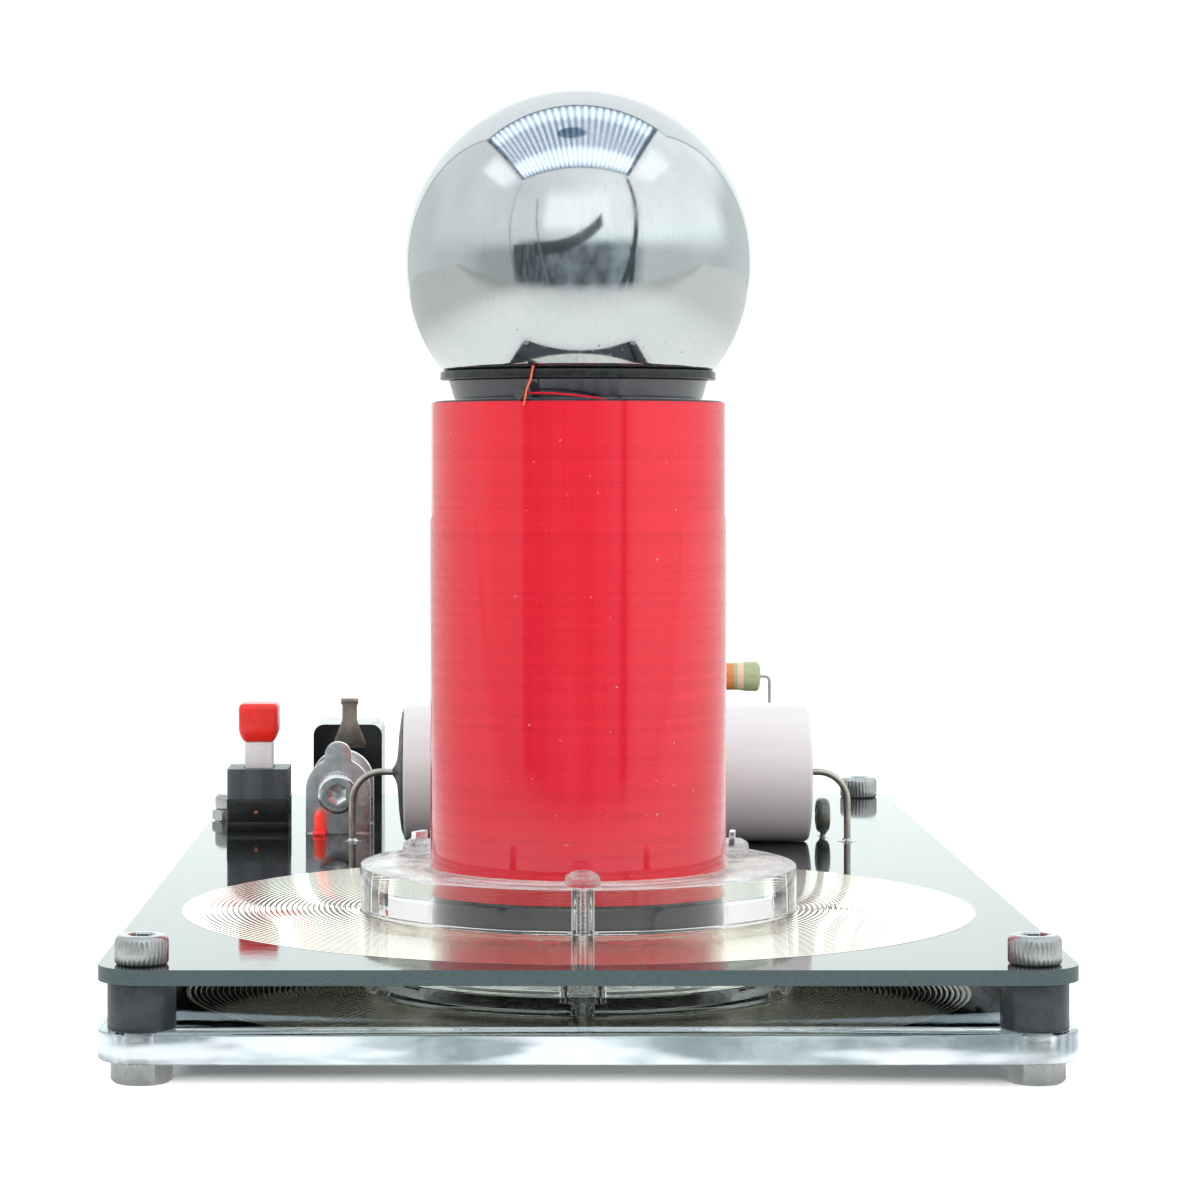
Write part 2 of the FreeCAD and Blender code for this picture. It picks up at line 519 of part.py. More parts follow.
kx, ky, kz, kl = NUM["ck_x"], NUM["ck_y"], top + NUM["ck_z"], NUM["ck_len"]
node(fuse([cyl("ck_rad", "2.6", "ck_x", "ck_y", "TOP + ck_z", "x"),
           cyl("ck_rad - 0.22", "ck_len - 4.0", "ck_x + 2.0", "ck_y", "TOP + ck_z", "x"),
           cyl("ck_rad", "2.6", "ck_x + ck_len - 2.6", "ck_y", "TOP + ck_z", "x")], "choke_fuse"), "rf_choke")
feature(axial_leads(kx, kx + kl, ky, kz, 0.2, 1.3, 0.9), "rf_choke_leads")

RES = [(-16.0, 50.0), (24.0, 74.0)]
feature([Part.makeCylinder(1.2, 6.4, V(x - 3.2, y, top + 1.4), V(1, 0, 0)) for x, y in RES], "resistors")
parts = []
for x, y in RES:
    parts += axial_leads(x - 3.2, x + 3.2, y, top + 1.4, 0.3, 1.8, 0.9)
feature(parts, "resistor_leads")
feature([Part.makeCylinder(1.5, 7.0, V(4.5, 78.0, top + 1.7), V(1, 0, 0))], "hv_diode")
feature(axial_leads(4.5, 11.5, 78.0, top + 1.7, 0.4, 2.2, 1.0), "hv_diode_leads")

# ---------------------------------------------------------------- step-up transformer
# two E-shaped ferrite halves round a bobbin with pins; the winding fills the bobbin
FX, FY = "tr_x", "tr_y"
core = cut(cbox("20", "5.2", "14.0", FX, FY, "TOP + 2.2"),
           [cbox("4.9", "7", "8.8", "tr_x - 4.95", FY, "TOP + 4.8"), cbox("4.9", "7", "8.8", "tr_x + 4.95", FY, "TOP + 4.8")],
           "core_cut")
node(core, "transformer_core")
bob = cut(fuse([cbox("14.4", "15.0", "0.9", FX, FY, "TOP + 4.85"), cbox("14.4", "15.0", "0.9", FX, FY, "TOP + 12.6"),
                cbox("7.0", "7.4", "7.0", FX, FY, "TOP + 5.6"),
                cbox("19.0", "3.6", "3.2", FX, "tr_y - 5.9", "TOP + 1.7"),
                cbox("19.0", "3.6", "3.2", FX, "tr_y + 5.9", "TOP + 1.7")]),
          [cbox("5.1", "5.3", "20", FX, FY, "TOP + 1")], "bobbin_cut")
node(bob, "transformer_bobbin")
node(cut(cbox("14.2", "14.6", "6.8", FX, FY, "TOP + 5.78"), [cbox("7.04", "7.44", "9", FX, FY, "TOP + 5.0")],
         "trwind_cut"), "transformer_winding")
tp = []
for px in (-7.5, -2.5, 2.5, 7.5):
    for py in (-5.9, 5.9):
        tp.append(cyl("0.35", "board_th + 2.7", "tr_x + %g" % px, "tr_y + %g" % py, "TOP - board_th - 1.0"))
        hole("tr_x + %g" % px, "tr_y + %g" % py, "0.5")
node(group(tp, "tr_pin_group"), "transformer_pins")

# ---------------------------------------------------------------- driver transistor on a finned heat sink
node(cbox("10.0", "4.4", "9.0", "ts_x", "ts_y", "TOP + 3.2", name="ts_case"), "transistor_case")
node(cut(cbox("10.0", "1.2", "15.2", "ts_x", "ts_y + 2.8", "TOP + 3.2"),
         [cyl("1.8", "6", "ts_x", "ts_y", "TOP + 15.4", "y")], "ts_tab_cut"), "transistor_tab")
tl = []
for px in (-2.54, 0, 2.54):
    tl.append(cbox("0.75", "0.5", "board_th + 4.2", "ts_x + %g" % px, "ts_y", "TOP - board_th - 1.0"))
    hole("ts_x + %g" % px, "ts_y", "0.6")
node(group(tl, "ts_leg_group"), "transistor_legs")
fins = [cbox("15.0", "1.6", "18.0", "ts_x", "ts_y + 4.21", "TOP + 1.5")]
for px in (-6.9, -3.45, 0, 3.45, 6.9):
    fins.append(cbox("1.1", "7.5", "18.0", "ts_x + %g" % px, "ts_y + 8.7", "TOP + 1.5"))
hs = cut(fuse(fins), [cyl("1.6", "3.6", "ts_x", "ts_y + 2", "TOP + 15.4", "y"),
                      cyl("3.3", "12", "ts_x", "ts_y + 5.02", "TOP + 15.4", "y")])
pegs = []
for px in (-5.2, 5.2):
    pegs.append(cyl("0.7", "board_th + 2.6", "ts_x + %g" % px, "ts_y + 4.21", "TOP - board_th - 1.0"))
    hole("ts_x + %g" % px, "ts_y + 4.21", "0.85")
node(fuse([hs] + pegs, "sink_fuse"), "heat_sink")
node(cut(fuse([cyl("2.75", "2.0", "ts_x", "ts_y + 0.19", "TOP + 15.4", "y"),
               cyl("1.5", "7.2", "ts_x", "ts_y + 1.0", "TOP + 15.4", "y")]),
         [cbox("0.8", "0.9", "7", "ts_x", "ts_y + 0.3", "TOP + 11.9")], "sink_screw_cut"), "heat_sink_screw")
node(cut(hexagon("5.5", "2.4", "ts_x", "ts_y + 5.03", "TOP + 15.4", "y"),
         [cyl("1.52", "6", "ts_x", "ts_y + 4", "TOP + 15.4", "y")], "sink_nut_cut"), "heat_sink_nut")

# ---------------------------------------------------------------- smoothing capacitor
node(cyl("el_rad", "el_len", "el_x", "el_y", "TOP + 0.3", name="el_can"), "smoothing_capacitor")
node(group([cyl("0.3", "board_th + 1.3", "el_x - 1.75", "el_y", "TOP - board_th - 1.0"),
            cyl("0.3", "board_th + 1.3", "el_x + 1.75", "el_y", "TOP - board_th - 1.0")], "el_lead_group"),
     "smoothing_capacitor_leads")
hole("el_x - 1.75", "el_y", "0.45")
hole("el_x + 1.75", "el_y", "0.45")

# ---------------------------------------------------------------- ground terminal at the left edge
node(cut(fuse([cyl("2.75", "2.2", "gt_x", "gt_y", "TOP + 1.7"),
               cyl("1.5", "board_th + 1.8 + 3.4", "gt_x", "gt_y", "TOP - board_th - 3.4")]),
         [cbox("0.8", "7", "1.0", "gt_x", "gt_y", "TOP + 3.1")], "gt_screw_cut"), "ground_terminal_screw")
node(cut(hexagon("5.5", "1.65", "gt_x", "gt_y", "TOP + 0.02"), [cyl("1.52", "4", "gt_x", "gt_y", "TOP - 1")], "gt_nut_cut"),
     "ground_terminal_nut")
node(cut(hexagon("5.5", "2.3", "gt_x", "gt_y", "TOP - board_th - 2.32"),
         [cyl("1.52", "5", "gt_x", "gt_y", "TOP - board_th - 3.5")], "gt_nut2_cut"), "ground_terminal_lock_nut")
hole("gt_x", "gt_y", "bolt_hole_rad")

# ---------------------------------------------------------------- the board with all its holes
node(cut(board, [cyl(rad, "board_th + 2", x, y, "TOP - board_th - 1") for x, y, rad in HOLES], "board_cut"),
     "circuit_board")

doc.recompute()
bad = [o.Name for o in doc.Objects if "Invalid" in o.State or "Error" in o.State]
if bad:
    raise RuntimeError("not computed: " + ", ".join(bad))
names = set()
for obj in NODES:
    sh = obj.Shape
    if sh.isNull() or not sh.isValid() or not sh.Solids or sh.Volume <= 0:
        raise RuntimeError("bad shape: " + obj.Label)
    if obj.Label in names:
        raise RuntimeError("two nodes are named " + obj.Label)
    names.add(obj.Label)
if len(NODES) > 60:
    raise RuntimeError("too many nodes")
os.makedirs("parts", exist_ok=True)
for obj in NODES:
    obj.Shape.exportStep(os.path.join("parts", obj.Label + ".step"))
print(len(NODES), "nodes")
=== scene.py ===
import math

import bmesh
import bpy
import numpy as np
from mathutils import Matrix, Vector


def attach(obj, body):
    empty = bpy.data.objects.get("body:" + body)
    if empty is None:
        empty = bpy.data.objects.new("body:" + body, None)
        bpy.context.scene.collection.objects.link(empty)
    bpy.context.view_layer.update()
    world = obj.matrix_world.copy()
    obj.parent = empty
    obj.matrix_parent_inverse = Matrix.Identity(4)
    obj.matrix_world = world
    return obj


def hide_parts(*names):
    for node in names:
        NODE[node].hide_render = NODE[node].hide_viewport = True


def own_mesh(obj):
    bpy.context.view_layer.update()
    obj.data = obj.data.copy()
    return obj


# A small resonant transformer on a circuit board. The mesh code below works in millimetres, in the row frame, and
# scales to metres as each piece is finished.

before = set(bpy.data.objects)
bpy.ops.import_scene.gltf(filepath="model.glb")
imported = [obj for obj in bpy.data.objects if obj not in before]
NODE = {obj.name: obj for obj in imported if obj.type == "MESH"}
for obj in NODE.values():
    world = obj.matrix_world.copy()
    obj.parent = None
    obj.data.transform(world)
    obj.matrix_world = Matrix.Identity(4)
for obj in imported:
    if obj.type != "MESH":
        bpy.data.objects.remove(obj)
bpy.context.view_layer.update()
scene = bpy.context.scene

TOP, LOW = 12.0, 10.4        # faces of the circuit board
CY = -41.0                   # the coil's axis, at x = 0
PI2 = 2 * math.pi

# ------------------------------------------------------------------ camera, at the photograph's angle
cam_data = bpy.data.cameras.new("photo_camera")
cam = bpy.data.objects.new("photo_camera", cam_data)
scene.collection.objects.link(cam)
cam.location = (-0.0092, -0.4348, 0.06372)
cam.rotation_euler = (math.radians(90), 0, 0)
cam_data.sensor_width = 36
cam_data.lens = 102.84
cam_data.shift_x = 0.085
cam_data.shift_y = -0.12
cam_data.clip_start = 0.01
cam_data.clip_end = 50
scene.camera = cam
scene.view_settings.view_transform = "Standard"
scene.view_settings.look = "None"
scene.view_settings.exposure = 0
scene.view_settings.gamma = 1
scene.cycles.max_bounces = 16
scene.cycles.transmission_bounces = 14
scene.cycles.glossy_bounces = 8
scene.cycles.transparent_max_bounces = 12
scene.cycles.sample_clamp_indirect = 6.0


# ------------------------------------------------------------------ node helpers
class G:
    """Short forms for making nodes in one tree. Arguments are numbers, tuples or sockets."""

    def __init__(self, tree):
        self.t = tree

    def put(self, socket, value):
        if isinstance(value, bpy.types.NodeSocket):
            self.t.links.new(value, socket)
        elif value is not None:
            if isinstance(value, tuple) and len(value) == 3 and socket.type == "RGBA":
                value = (*value, 1)
            socket.default_value = value

    def node(self, kind, ins=None, **props):
        n = self.t.nodes.new(kind)
        for k, v in props.items():
            setattr(n, k, v)
        for k, v in (ins or {}).items():
            self.put(n.inputs[k], v)
        return n

    def m(self, op, a, b=None, c=None, clamp=False):
        n = self.t.nodes.new("ShaderNodeMath")
        n.operation = op
        n.use_clamp = clamp
        for i, v in enumerate((a, b, c)):
            if v is not None:
                self.put(n.inputs[i], v)
        return n.outputs[0]

    def add(self, a, b):
        return self.m("ADD", a, b)

    def mul(self, a, b):
        return self.m("MULTIPLY", a, b)

    def step(self, v, a, b, lo=0.0, hi=1.0):
        """Smooth step: lo at a, hi at b."""
        n = self.node("ShaderNodeMapRange", interpolation_type="SMOOTHSTEP")
        if a > b:
            a, b, lo, hi = b, a, hi, lo
        for i, x in zip((0, 1, 2, 3, 4), (v, a, b, lo, hi)):
            self.put(n.inputs[i], x)
        return n.outputs[0]

    def lin(self, v, a, b, lo, hi):
        n = self.node("ShaderNodeMapRange")
        for i, x in zip((0, 1, 2, 3, 4), (v, a, b, lo, hi)):
            self.put(n.inputs[i], x)
        return n.outputs[0]

    def inside(self, v, a, b, soft):
        return self.mul(self.step(v, a - soft, a + soft), self.step(v, b + soft, b - soft))

    def mix(self, f, a, b):
        n = self.node("ShaderNodeMix", data_type="RGBA")
        self.put(n.inputs[0], f)
        self.put(n.inputs[6], a)
        self.put(n.inputs[7], b)
        return n.outputs[2]

    def mixf(self, f, a, b):
        n = self.node("ShaderNodeMix", data_type="FLOAT")
        self.put(n.inputs[0], f)
        self.put(n.inputs[2], a)
        self.put(n.inputs[3], b)
        return n.outputs[0]

    def xyz(self, v):
        n = self.node("ShaderNodeSeparateXYZ")
        self.put(n.inputs[0], v)
        return n.outputs[0], n.outputs[1], n.outputs[2]

    def vec(self, x, y, z):
        n = self.node("ShaderNodeCombineXYZ")
        for i, v in enumerate((x, y, z)):
            self.put(n.inputs[i], v)
        return n.outputs[0]

    def scaled(self, v, s):
        n = self.node("ShaderNodeVectorMath", operation="MULTIPLY")
        self.put(n.inputs[0], v)
        self.put(n.inputs[1], s if isinstance(s, tuple) else (s, s, s))
        return n.outputs[0]

    def noise(self, v, scale, detail=2.0, rough=0.5, distort=0.0):
        n = self.node("ShaderNodeTexNoise")
        self.put(n.inputs["Vector"], v)
        self.put(n.inputs["Scale"], scale)
        self.put(n.inputs["Detail"], detail)
        self.put(n.inputs["Roughness"], rough)
        self.put(n.inputs["Distortion"], distort)
        return n.outputs[0]

    def voronoi(self, v, scale, feature="F1"):
        n = self.node("ShaderNodeTexVoronoi", feature=feature)
        self.put(n.inputs["Vector"], v)
        self.put(n.inputs["Scale"], scale)
        return n.outputs["Distance"], n.outputs["Color"] if feature == "F1" else None

    def ramp(self, f, stops, interp="LINEAR"):
        n = self.node("ShaderNodeValToRGB")
        n.color_ramp.interpolation = interp
        el = n.color_ramp.elements
        while len(el) < len(stops):
            el.new(0.5)
        for e, (p, c) in zip(el, sorted(stops)):
            e.position = p
            e.color = (*c, 1) if isinstance(c, tuple) else (c, c, c, 1)
        self.put(n.inputs[0], f)
        return n.outputs[0]

    def bump(self, height, dist, strength=1.0, normal=None):
        n = self.node("ShaderNodeBump")
        self.put(n.inputs["Strength"], strength)
        self.put(n.inputs["Distance"], dist)
        self.put(n.inputs["Height"], height)
        if normal is not None:
            self.put(n.inputs["Normal"], normal)
        return n.outputs[0]


MATS = {}


def shader(name):
    mat = bpy.data.materials.new(name)
    mat.use_nodes = True
    nt = mat.node_tree
    nt.nodes.clear()
    g = G(nt)
    out = nt.nodes.new("ShaderNodeOutputMaterial")
    p = nt.nodes.new("ShaderNodeBsdfPrincipled")
    nt.links.new(p.outputs[0], out.inputs[0])
    co = nt.nodes.new("ShaderNodeTexCoord").outputs["Object"]
    MATS[name] = mat
    return mat, g, p, co, out


def tinted(c, k):
    return tuple(max(0.0, min(1.0, x * k)) for x in c)


def finish(name, base, rough=0.4, metal=0.0, coat=0.0, coat_rough=0.03, ior=1.5, var=0.12, vscale=300.0, rvar=0.07,
           rscale=900.0, bump=0.004, bscale=2500.0, stretch=(1, 1, 1), wear=0.0, wear_col=None, spec=0.5, aniso=0.0,
           sheen=0.0):
    """A finish with uneven colour, uneven gloss and fine relief. bump is in millimetres."""
    mat, g, p, co, out = shader(name)
    st = g.scaled(co, stretch)
    n1 = g.noise(st, vscale, 3.0, 0.55)
    n2 = g.noise(st, rscale, 2.0, 0.6)
    n3 = g.noise(st, bscale, 2.0, 0.55)
    col = g.mix(g.step(n1, 0.3, 0.7), tinted(base, 1 - var), tinted(base, 1 + var))
    if wear:
        geo = g.node("ShaderNodeNewGeometry")
        edge = g.step(g.add(geo.outputs["Pointiness"], g.mul(g.add(n2, -0.5), 0.06)), 0.515, 0.56)
        col = g.mix(g.mul(edge, wear), col, wear_col or tinted(base, 2.0))
    g.put(p.inputs["Base Color"], col)
    g.put(p.inputs["Roughness"], g.lin(n2, 0.25, 0.75, max(0.02, rough - rvar), min(1, rough + rvar)))
    p.inputs["Metallic"].default_value = metal
    p.inputs["Coat Weight"].default_value = coat
    p.inputs["Coat Roughness"].default_value = coat_rough
    p.inputs["IOR"].default_value = ior
    p.inputs["Specular IOR Level"].default_value = spec
    p.inputs["Anisotropic"].default_value = aniso
    if sheen:
        p.inputs["Sheen Weight"].default_value = sheen
    if bump:
        g.put(p.inputs["Normal"], g.bump(n3, bump * 0.001))
    return mat


# ------------------------------------------------------------------ materials
def make_materials():
    # clear cast acrylic: polished faces, fine scuffs, a faint cool tint
    mat, g, p, co, out = shader("clear_acrylic")
    sc = g.noise(g.scaled(co, (1, 1, 1)), 700, 3, 0.6)
    scratch = g.step(g.noise(g.scaled(co, (60, 900, 400)), 3.0, 4, 0.75, 0.6), 0.66, 0.72)
    p.inputs["Base Color"].default_value = (0.972, 0.988, 0.985, 1)
    p.inputs["Transmission Weight"].default_value = 1
    p.inputs["IOR"].default_value = 1.49
    g.put(p.inputs["Roughness"], g.add(g.lin(sc, 0.4, 0.75, 0.0, 0.012), g.mul(scratch, 0.05)))
    g.put(p.inputs["Normal"], g.bump(g.add(g.mul(sc, 0.4), scratch), 0.000002))

    # the ring round the coil's foot: sanded top face, polished wall with a few upright marks
    mat, g, p, co, out = shader("ring_acrylic")
    geo = g.node("ShaderNodeNewGeometry")
    nx, ny, nz = g.xyz(geo.outputs["Normal"])
    x, y, z = g.xyz(co)
    top = g.mul(g.step(nz, 0.5, 0.8), g.step(z, 0.0160, 0.0165))
    fog = g.noise(g.scaled(co, (1, 1, 1)), 260, 4, 0.6)
    mark = g.step(g.noise(g.scaled(co, (1, 1, 0.04)), 900, 3, 0.7), 0.60, 0.72)
    p.inputs["Base Color"].default_value = (0.972, 0.988, 0.985, 1)
    p.inputs["Transmission Weight"].default_value = 1
    p.inputs["IOR"].default_value = 1.49
    g.put(p.inputs["Roughness"], g.mixf(top, g.add(g.lin(fog, 0.4, 0.75, 0.0, 0.02), g.mul(mark, 0.12)), g.lin(fog, 0.3, 0.7, 0.12, 0.34)))
    g.put(p.inputs["Normal"], g.bump(g.mixf(top, g.add(g.mul(fog, 0.3), g.mul(mark, 0.4)), g.noise(co, 2400, 3)), 0.000004))
    haze = g.node("ShaderNodeBsdfDiffuse")
    haze.inputs["Color"].default_value = (0.86, 0.92, 0.94, 1)
    veil = g.node("ShaderNodeMixShader")
    g.put(veil.inputs[0], g.mixf(top, g.mul(mark, 0.10), g.lin(fog, 0.3, 0.7, 0.10, 0.38)))
    mat.node_tree.links.new(p.outputs[0], veil.inputs[1])
    mat.node_tree.links.new(haze.outputs[0], veil.inputs[2])
    mat.node_tree.links.new(veil.outputs[0], out.inputs[0])

    # the base sheet: polished faces, cut edges a little uneven and frosted
    mat, g, p, co, out = shader("clear_sheet")
    geo = g.node("ShaderNodeNewGeometry")
    nx, ny, nz = g.xyz(geo.outputs["Normal"])
    side = g.step(g.m("ABSOLUTE", nz), 0.5, 0.3)
    sc = g.noise(co, 700, 3, 0.6)
    wave = g.noise(g.scaled(co, (1, 1, 2.5)), 170, 2, 0.5)
    p.inputs["Base Color"].default_value = (0.965, 0.985, 0.99, 1)
    p.inputs["Transmission Weight"].default_value = 1
    p.inputs["IOR"].default_value = 1.49
    g.put(p.inputs["Roughness"], g.mixf(side, g.lin(sc, 0.4, 0.75, 0.0, 0.01), g.lin(wave, 0.3, 0.7, 0.10, 0.24)))
    g.put(p.inputs["Normal"], g.bump(g.mixf(side, g.mul(sc, 0.01), wave), 0.00025))
    tint = g.node("ShaderNodeVolumeAbsorption")
    tint.inputs["Color"].default_value = (0.36, 0.52, 0.58, 1)
    tint.inputs["Density"].default_value = 6.0
    mat.node_tree.links.new(tint.outputs[0], out.inputs["Volume"])
    patch = g.noise(g.scaled(co, (1, 1, 5)), 75, 2, 0.45)
    haze = g.node("ShaderNodeBsdfDiffuse")
    g.put(haze.inputs["Color"], g.mix(patch, (0.70, 0.82, 0.88), (0.90, 0.95, 0.97)))
    veil = g.node("ShaderNodeMixShader")
    g.put(veil.inputs[0], g.mul(side, g.step(patch, 0.38, 0.62, 0.08, 0.75)))
    mat.node_tree.links.new(p.outputs[0], veil.inputs[1])
    mat.node_tree.links.new(haze.outputs[0], veil.inputs[2])
    mat.node_tree.links.new(veil.outputs[0], out.inputs[0])

    mat, g, p, co, out = shader("clear_nylon")
    sc = g.noise(co, 900, 3, 0.6)
    g.put(p.inputs["Base Color"], g.mix(sc, (0.93, 0.95, 0.965), (0.97, 0.98, 0.99)))
    p.inputs["Transmission Weight"].default_value = 1
    p.inputs["IOR"].default_value = 1.53
    g.put(p.inputs["Roughness"], g.lin(sc, 0.3, 0.7, 0.20, 0.34))
    g.put(p.inputs["Normal"], g.bump(g.noise(co, 2200, 2), 0.000012))

    # board: gloss black solder mask on both faces, grey-green glass fibre on the cut edges
    mat, g, p, co, out = shader("board_black")
    geo = g.node("ShaderNodeNewGeometry")
    nx, ny, nz = g.xyz(geo.outputs["Normal"])
    face = g.step(g.m("ABSOLUTE", nz), 0.6, 0.75)
    x, y, z = g.xyz(co)
    weave = g.mul(g.m("SINE", g.mul(g.add(x, y), 9000.0)), g.m("SINE", g.mul(g.add(x, g.mul(y, -1.0)), 9000.0)))
    ply = g.m("SINE", g.mul(z, 36000.0))
    edge = g.mix(g.lin(g.noise(g.scaled(co, (1, 1, 6)), 1500, 3), 0.3, 0.7, 0, 1), (0.026, 0.050, 0.055), (0.056, 0.090, 0.096))
    edge = g.mix(g.mul(g.step(ply, 0.2, 0.9), 0.35), edge, (0.085, 0.125, 0.13))
    mask = g.mix(g.noise(co, 260, 3), (0.0075, 0.009, 0.010), (0.015, 0.017, 0.0185))
    mask = g.mix(g.mul(g.step(g.noise(co, 5200, 1), 0.70, 0.74), 0.5), mask, (0.09, 0.10, 0.105))
    g.put(p.inputs["Base Color"], g.mix(face, edge, mask))
    g.put(p.inputs["Roughness"], g.mixf(face, 0.42, g.lin(g.noise(co, 420, 3), 0.3, 0.7, 0.035, 0.075)))
    p.inputs["IOR"].default_value = 1.56
    relief = g.add(g.mul(weave, 0.06), g.noise(co, 800, 3))
    g.put(p.inputs["Normal"], g.bump(g.mixf(face, g.mul(g.add(g.noise(co, 3000), ply), 1.2), relief), 0.0000016))

    # gold plate: slightly uneven tone
    mat, g, p, co, out = shader("gold_track")
    n = g.noise(co, 180, 4, 0.6)
    g.put(p.inputs["Base Color"], g.mix(g.step(n, 0.3, 0.7), (0.95, 0.89, 0.72), (0.99, 0.94, 0.79)))
    p.inputs["Metallic"].default_value = 1
    g.put(p.inputs["Roughness"], g.lin(g.noise(co, 2600, 2), 0.3, 0.7, 0.008, 0.022))
    g.put(p.inputs["Normal"], g.bump(g.noise(co, 4000, 2), 0.0000001))

    finish("steel_bolt", (0.50, 0.505, 0.50), 0.3, 1.0, var=0.14, vscale=500, rvar=0.12, bump=0.003, bscale=5000)
    finish("solder", (0.72, 0.73, 0.74), 0.22, 1.0, var=0.12, vscale=900, rvar=0.12, bump=0.008, bscale=2600)
    finish("black_spacer", (0.022, 0.029, 0.034), 0.34, var=0.25, vscale=600, rvar=0.12, bump=0.006, bscale=3000, spec=0.6)

    # former and neck: dark plastic with a faint grain along the tube and a thin lacquer
    mat, g, p, co, out = shader("former_black")
    n = g.noise(g.scaled(co, (1, 1, 0.12)), 900, 3)
    g.put(p.inputs["Base Color"], g.mix(n, (0.004, 0.005, 0.007), (0.010, 0.012, 0.016)))
    g.put(p.inputs["Roughness"], g.lin(n, 0.3, 0.7, 0.12, 0.26))
    p.inputs["Coat Weight"].default_value = 0.3
    p.inputs["Coat Roughness"].default_value = 0.04
    g.put(p.inputs["Normal"], g.bump(n, 0.00001))

    # neck: smoke-tinted clear sleeve over the dark tube
    mat, g, p, co, out = shader("neck_smoke")
    n = g.noise(g.scaled(co, (1, 1, 0.3)), 500, 3)
    g.put(p.inputs["Base Color"], g.mix(n, (0.020, 0.018, 0.028), (0.034, 0.030, 0.044)))
    g.put(p.inputs["Roughness"], g.lin(n, 0.3, 0.7, 0.05, 0.12))
    p.inputs["Coat Weight"].default_value = 1.0
    p.inputs["Coat Roughness"].default_value = 0.02
    p.inputs["IOR"].default_value = 1.8
    g.put(p.inputs["Normal"], g.bump(n, 0.000008))

    # enamelled wire under lacquer: bright red, with slow changes along the tube from the dipping, and a few flecks
    mat, g, p, co, out = shader("red_winding")
    x, y, z = g.xyz(co)
    turn = g.noise(g.vec(g.mul(x, 6.0), g.mul(y, 6.0), g.mul(z, 1500.0)), 1.0, 1, 0.4)
    slow = g.noise(g.scaled(co, (1, 1, 0.2)), 70, 3, 0.5)
    c = g.mix(g.step(slow, 0.3, 0.7), (0.95, 0.012, 0.036), (1.0, 0.022, 0.052))
    c = g.mix(g.mul(g.step(turn, 0.5, 0.75), 0.12), c, (0.72, 0.010, 0.028))
    fleck = g.step(g.noise(co, 1500, 2, 0.5), 0.755, 0.77)
    c = g.mix(g.mul(fleck, 0.6), c, (0.95, 0.55, 0.5))
    # fine upright streaks where the turns line up
    ang = g.m("ARCTAN2", x, g.add(y, -CY / 1000))
    streak = g.noise(g.vec(g.mul(ang, 42.0), g.mul(z, 9.0), 0.0), 1.0, 2, 0.6)
    c = g.mix(g.mul(g.step(streak, 0.42, 0.72), 0.12), c, (0.70, 0.008, 0.030))
    g.put(p.inputs["Base Color"], c)
    g.put(p.inputs["Roughness"], g.lin(turn, 0.3, 0.7, 0.46, 0.54))
    p.inputs["Metallic"].default_value = 0.5
    p.inputs["Anisotropic"].default_value = 1.0
    g.put(p.inputs["Tangent"], g.vec(0.0, 0.0, 1.0))
    p.inputs["Coat Weight"].default_value = 1.0
    p.inputs["Coat Roughness"].default_value = 0.02
    p.inputs["Coat IOR"].default_value = 1.65
    p.inputs["Specular IOR Level"].default_value = 0.1
    coat_n = g.noise(g.scaled(co, (1, 1, 0.12)), 120, 2)
    g.put(p.inputs["Normal"], g.bump(g.noise(g.scaled(co, (1, 1, 0.3)), 500, 2), 0.000004))
    level = g.node("ShaderNodeVectorMath", operation="NORMALIZE")
    g.put(level.inputs[0], g.vec(x, g.add(y, -CY / 1000), 0.0))
    g.put(p.inputs["Coat Normal"], g.bump(coat_n, 0.00002, 1.0, level.outputs[0]))

    finish("red_wire", (0.85, 0.10, 0.05), 0.3, coat=0.8, var=0.2, vscale=1500, bump=0.004, bscale=4000)
    finish("disc_black", (0.012, 0.012, 0.012), 0.26, var=0.4, vscale=900, rvar=0.12, bump=0.012, bscale=1500, spec=0.6)

    # ball: polished steel with fine rubbing marks, small pits and faint smears
    mat, g, p, co, out = shader("ball_steel")
    lc = g.node("ShaderNodeVectorMath", operation="SUBTRACT")
    g.put(lc.inputs[0], co)
    lc.inputs[1].default_value = (0, CY / 1000, 0.08606)
    lc = lc.outputs[0]
    lines = g.noise(g.scaled(lc, (2200, 2200, 120)), 1.0, 3, 0.6)
    rings = g.noise(g.scaled(lc, (60, 60, 1400)), 1.0, 3, 0.6)
    smear = g.noise(lc, 55, 4, 0.6, 0.4)
    pit = g.step(g.noise(lc, 1700, 1, 0.5), 0.735, 0.76)
    x, y, z = g.xyz(lc)
    low = g.step(z, -0.002, -0.012)
    spots = g.mul(pit, g.mixf(low, 0.25, 1.0))
    spots = g.mul(spots, g.step(g.noise(lc, 130, 2), 0.50, 0.62))
    c = g.mix(smear, (0.60, 0.625, 0.635), (0.70, 0.715, 0.72))
    c = g.mix(g.mul(g.step(lines, 0.4, 0.75), 0.25), c, (0.54, 0.565, 0.58))
    c = g.mix(g.mul(spots, 0.8), c, (0.10, 0.11, 0.12))
    g.put(p.inputs["Base Color"], c)
    p.inputs["Metallic"].default_value = 1
    r = g.add(g.lin(lines, 0.3, 0.75, 0.035, 0.095), g.mul(g.step(smear, 0.45, 0.75), 0.06))
    g.put(p.inputs["Roughness"], g.add(r, g.mul(spots, 0.3)))
    h = g.add(g.mul(lines, 0.5), g.add(g.mul(rings, 0.35), g.mul(spots, -2.0)))
    g.put(p.inputs["Normal"], g.bump(h, 0.0000012))

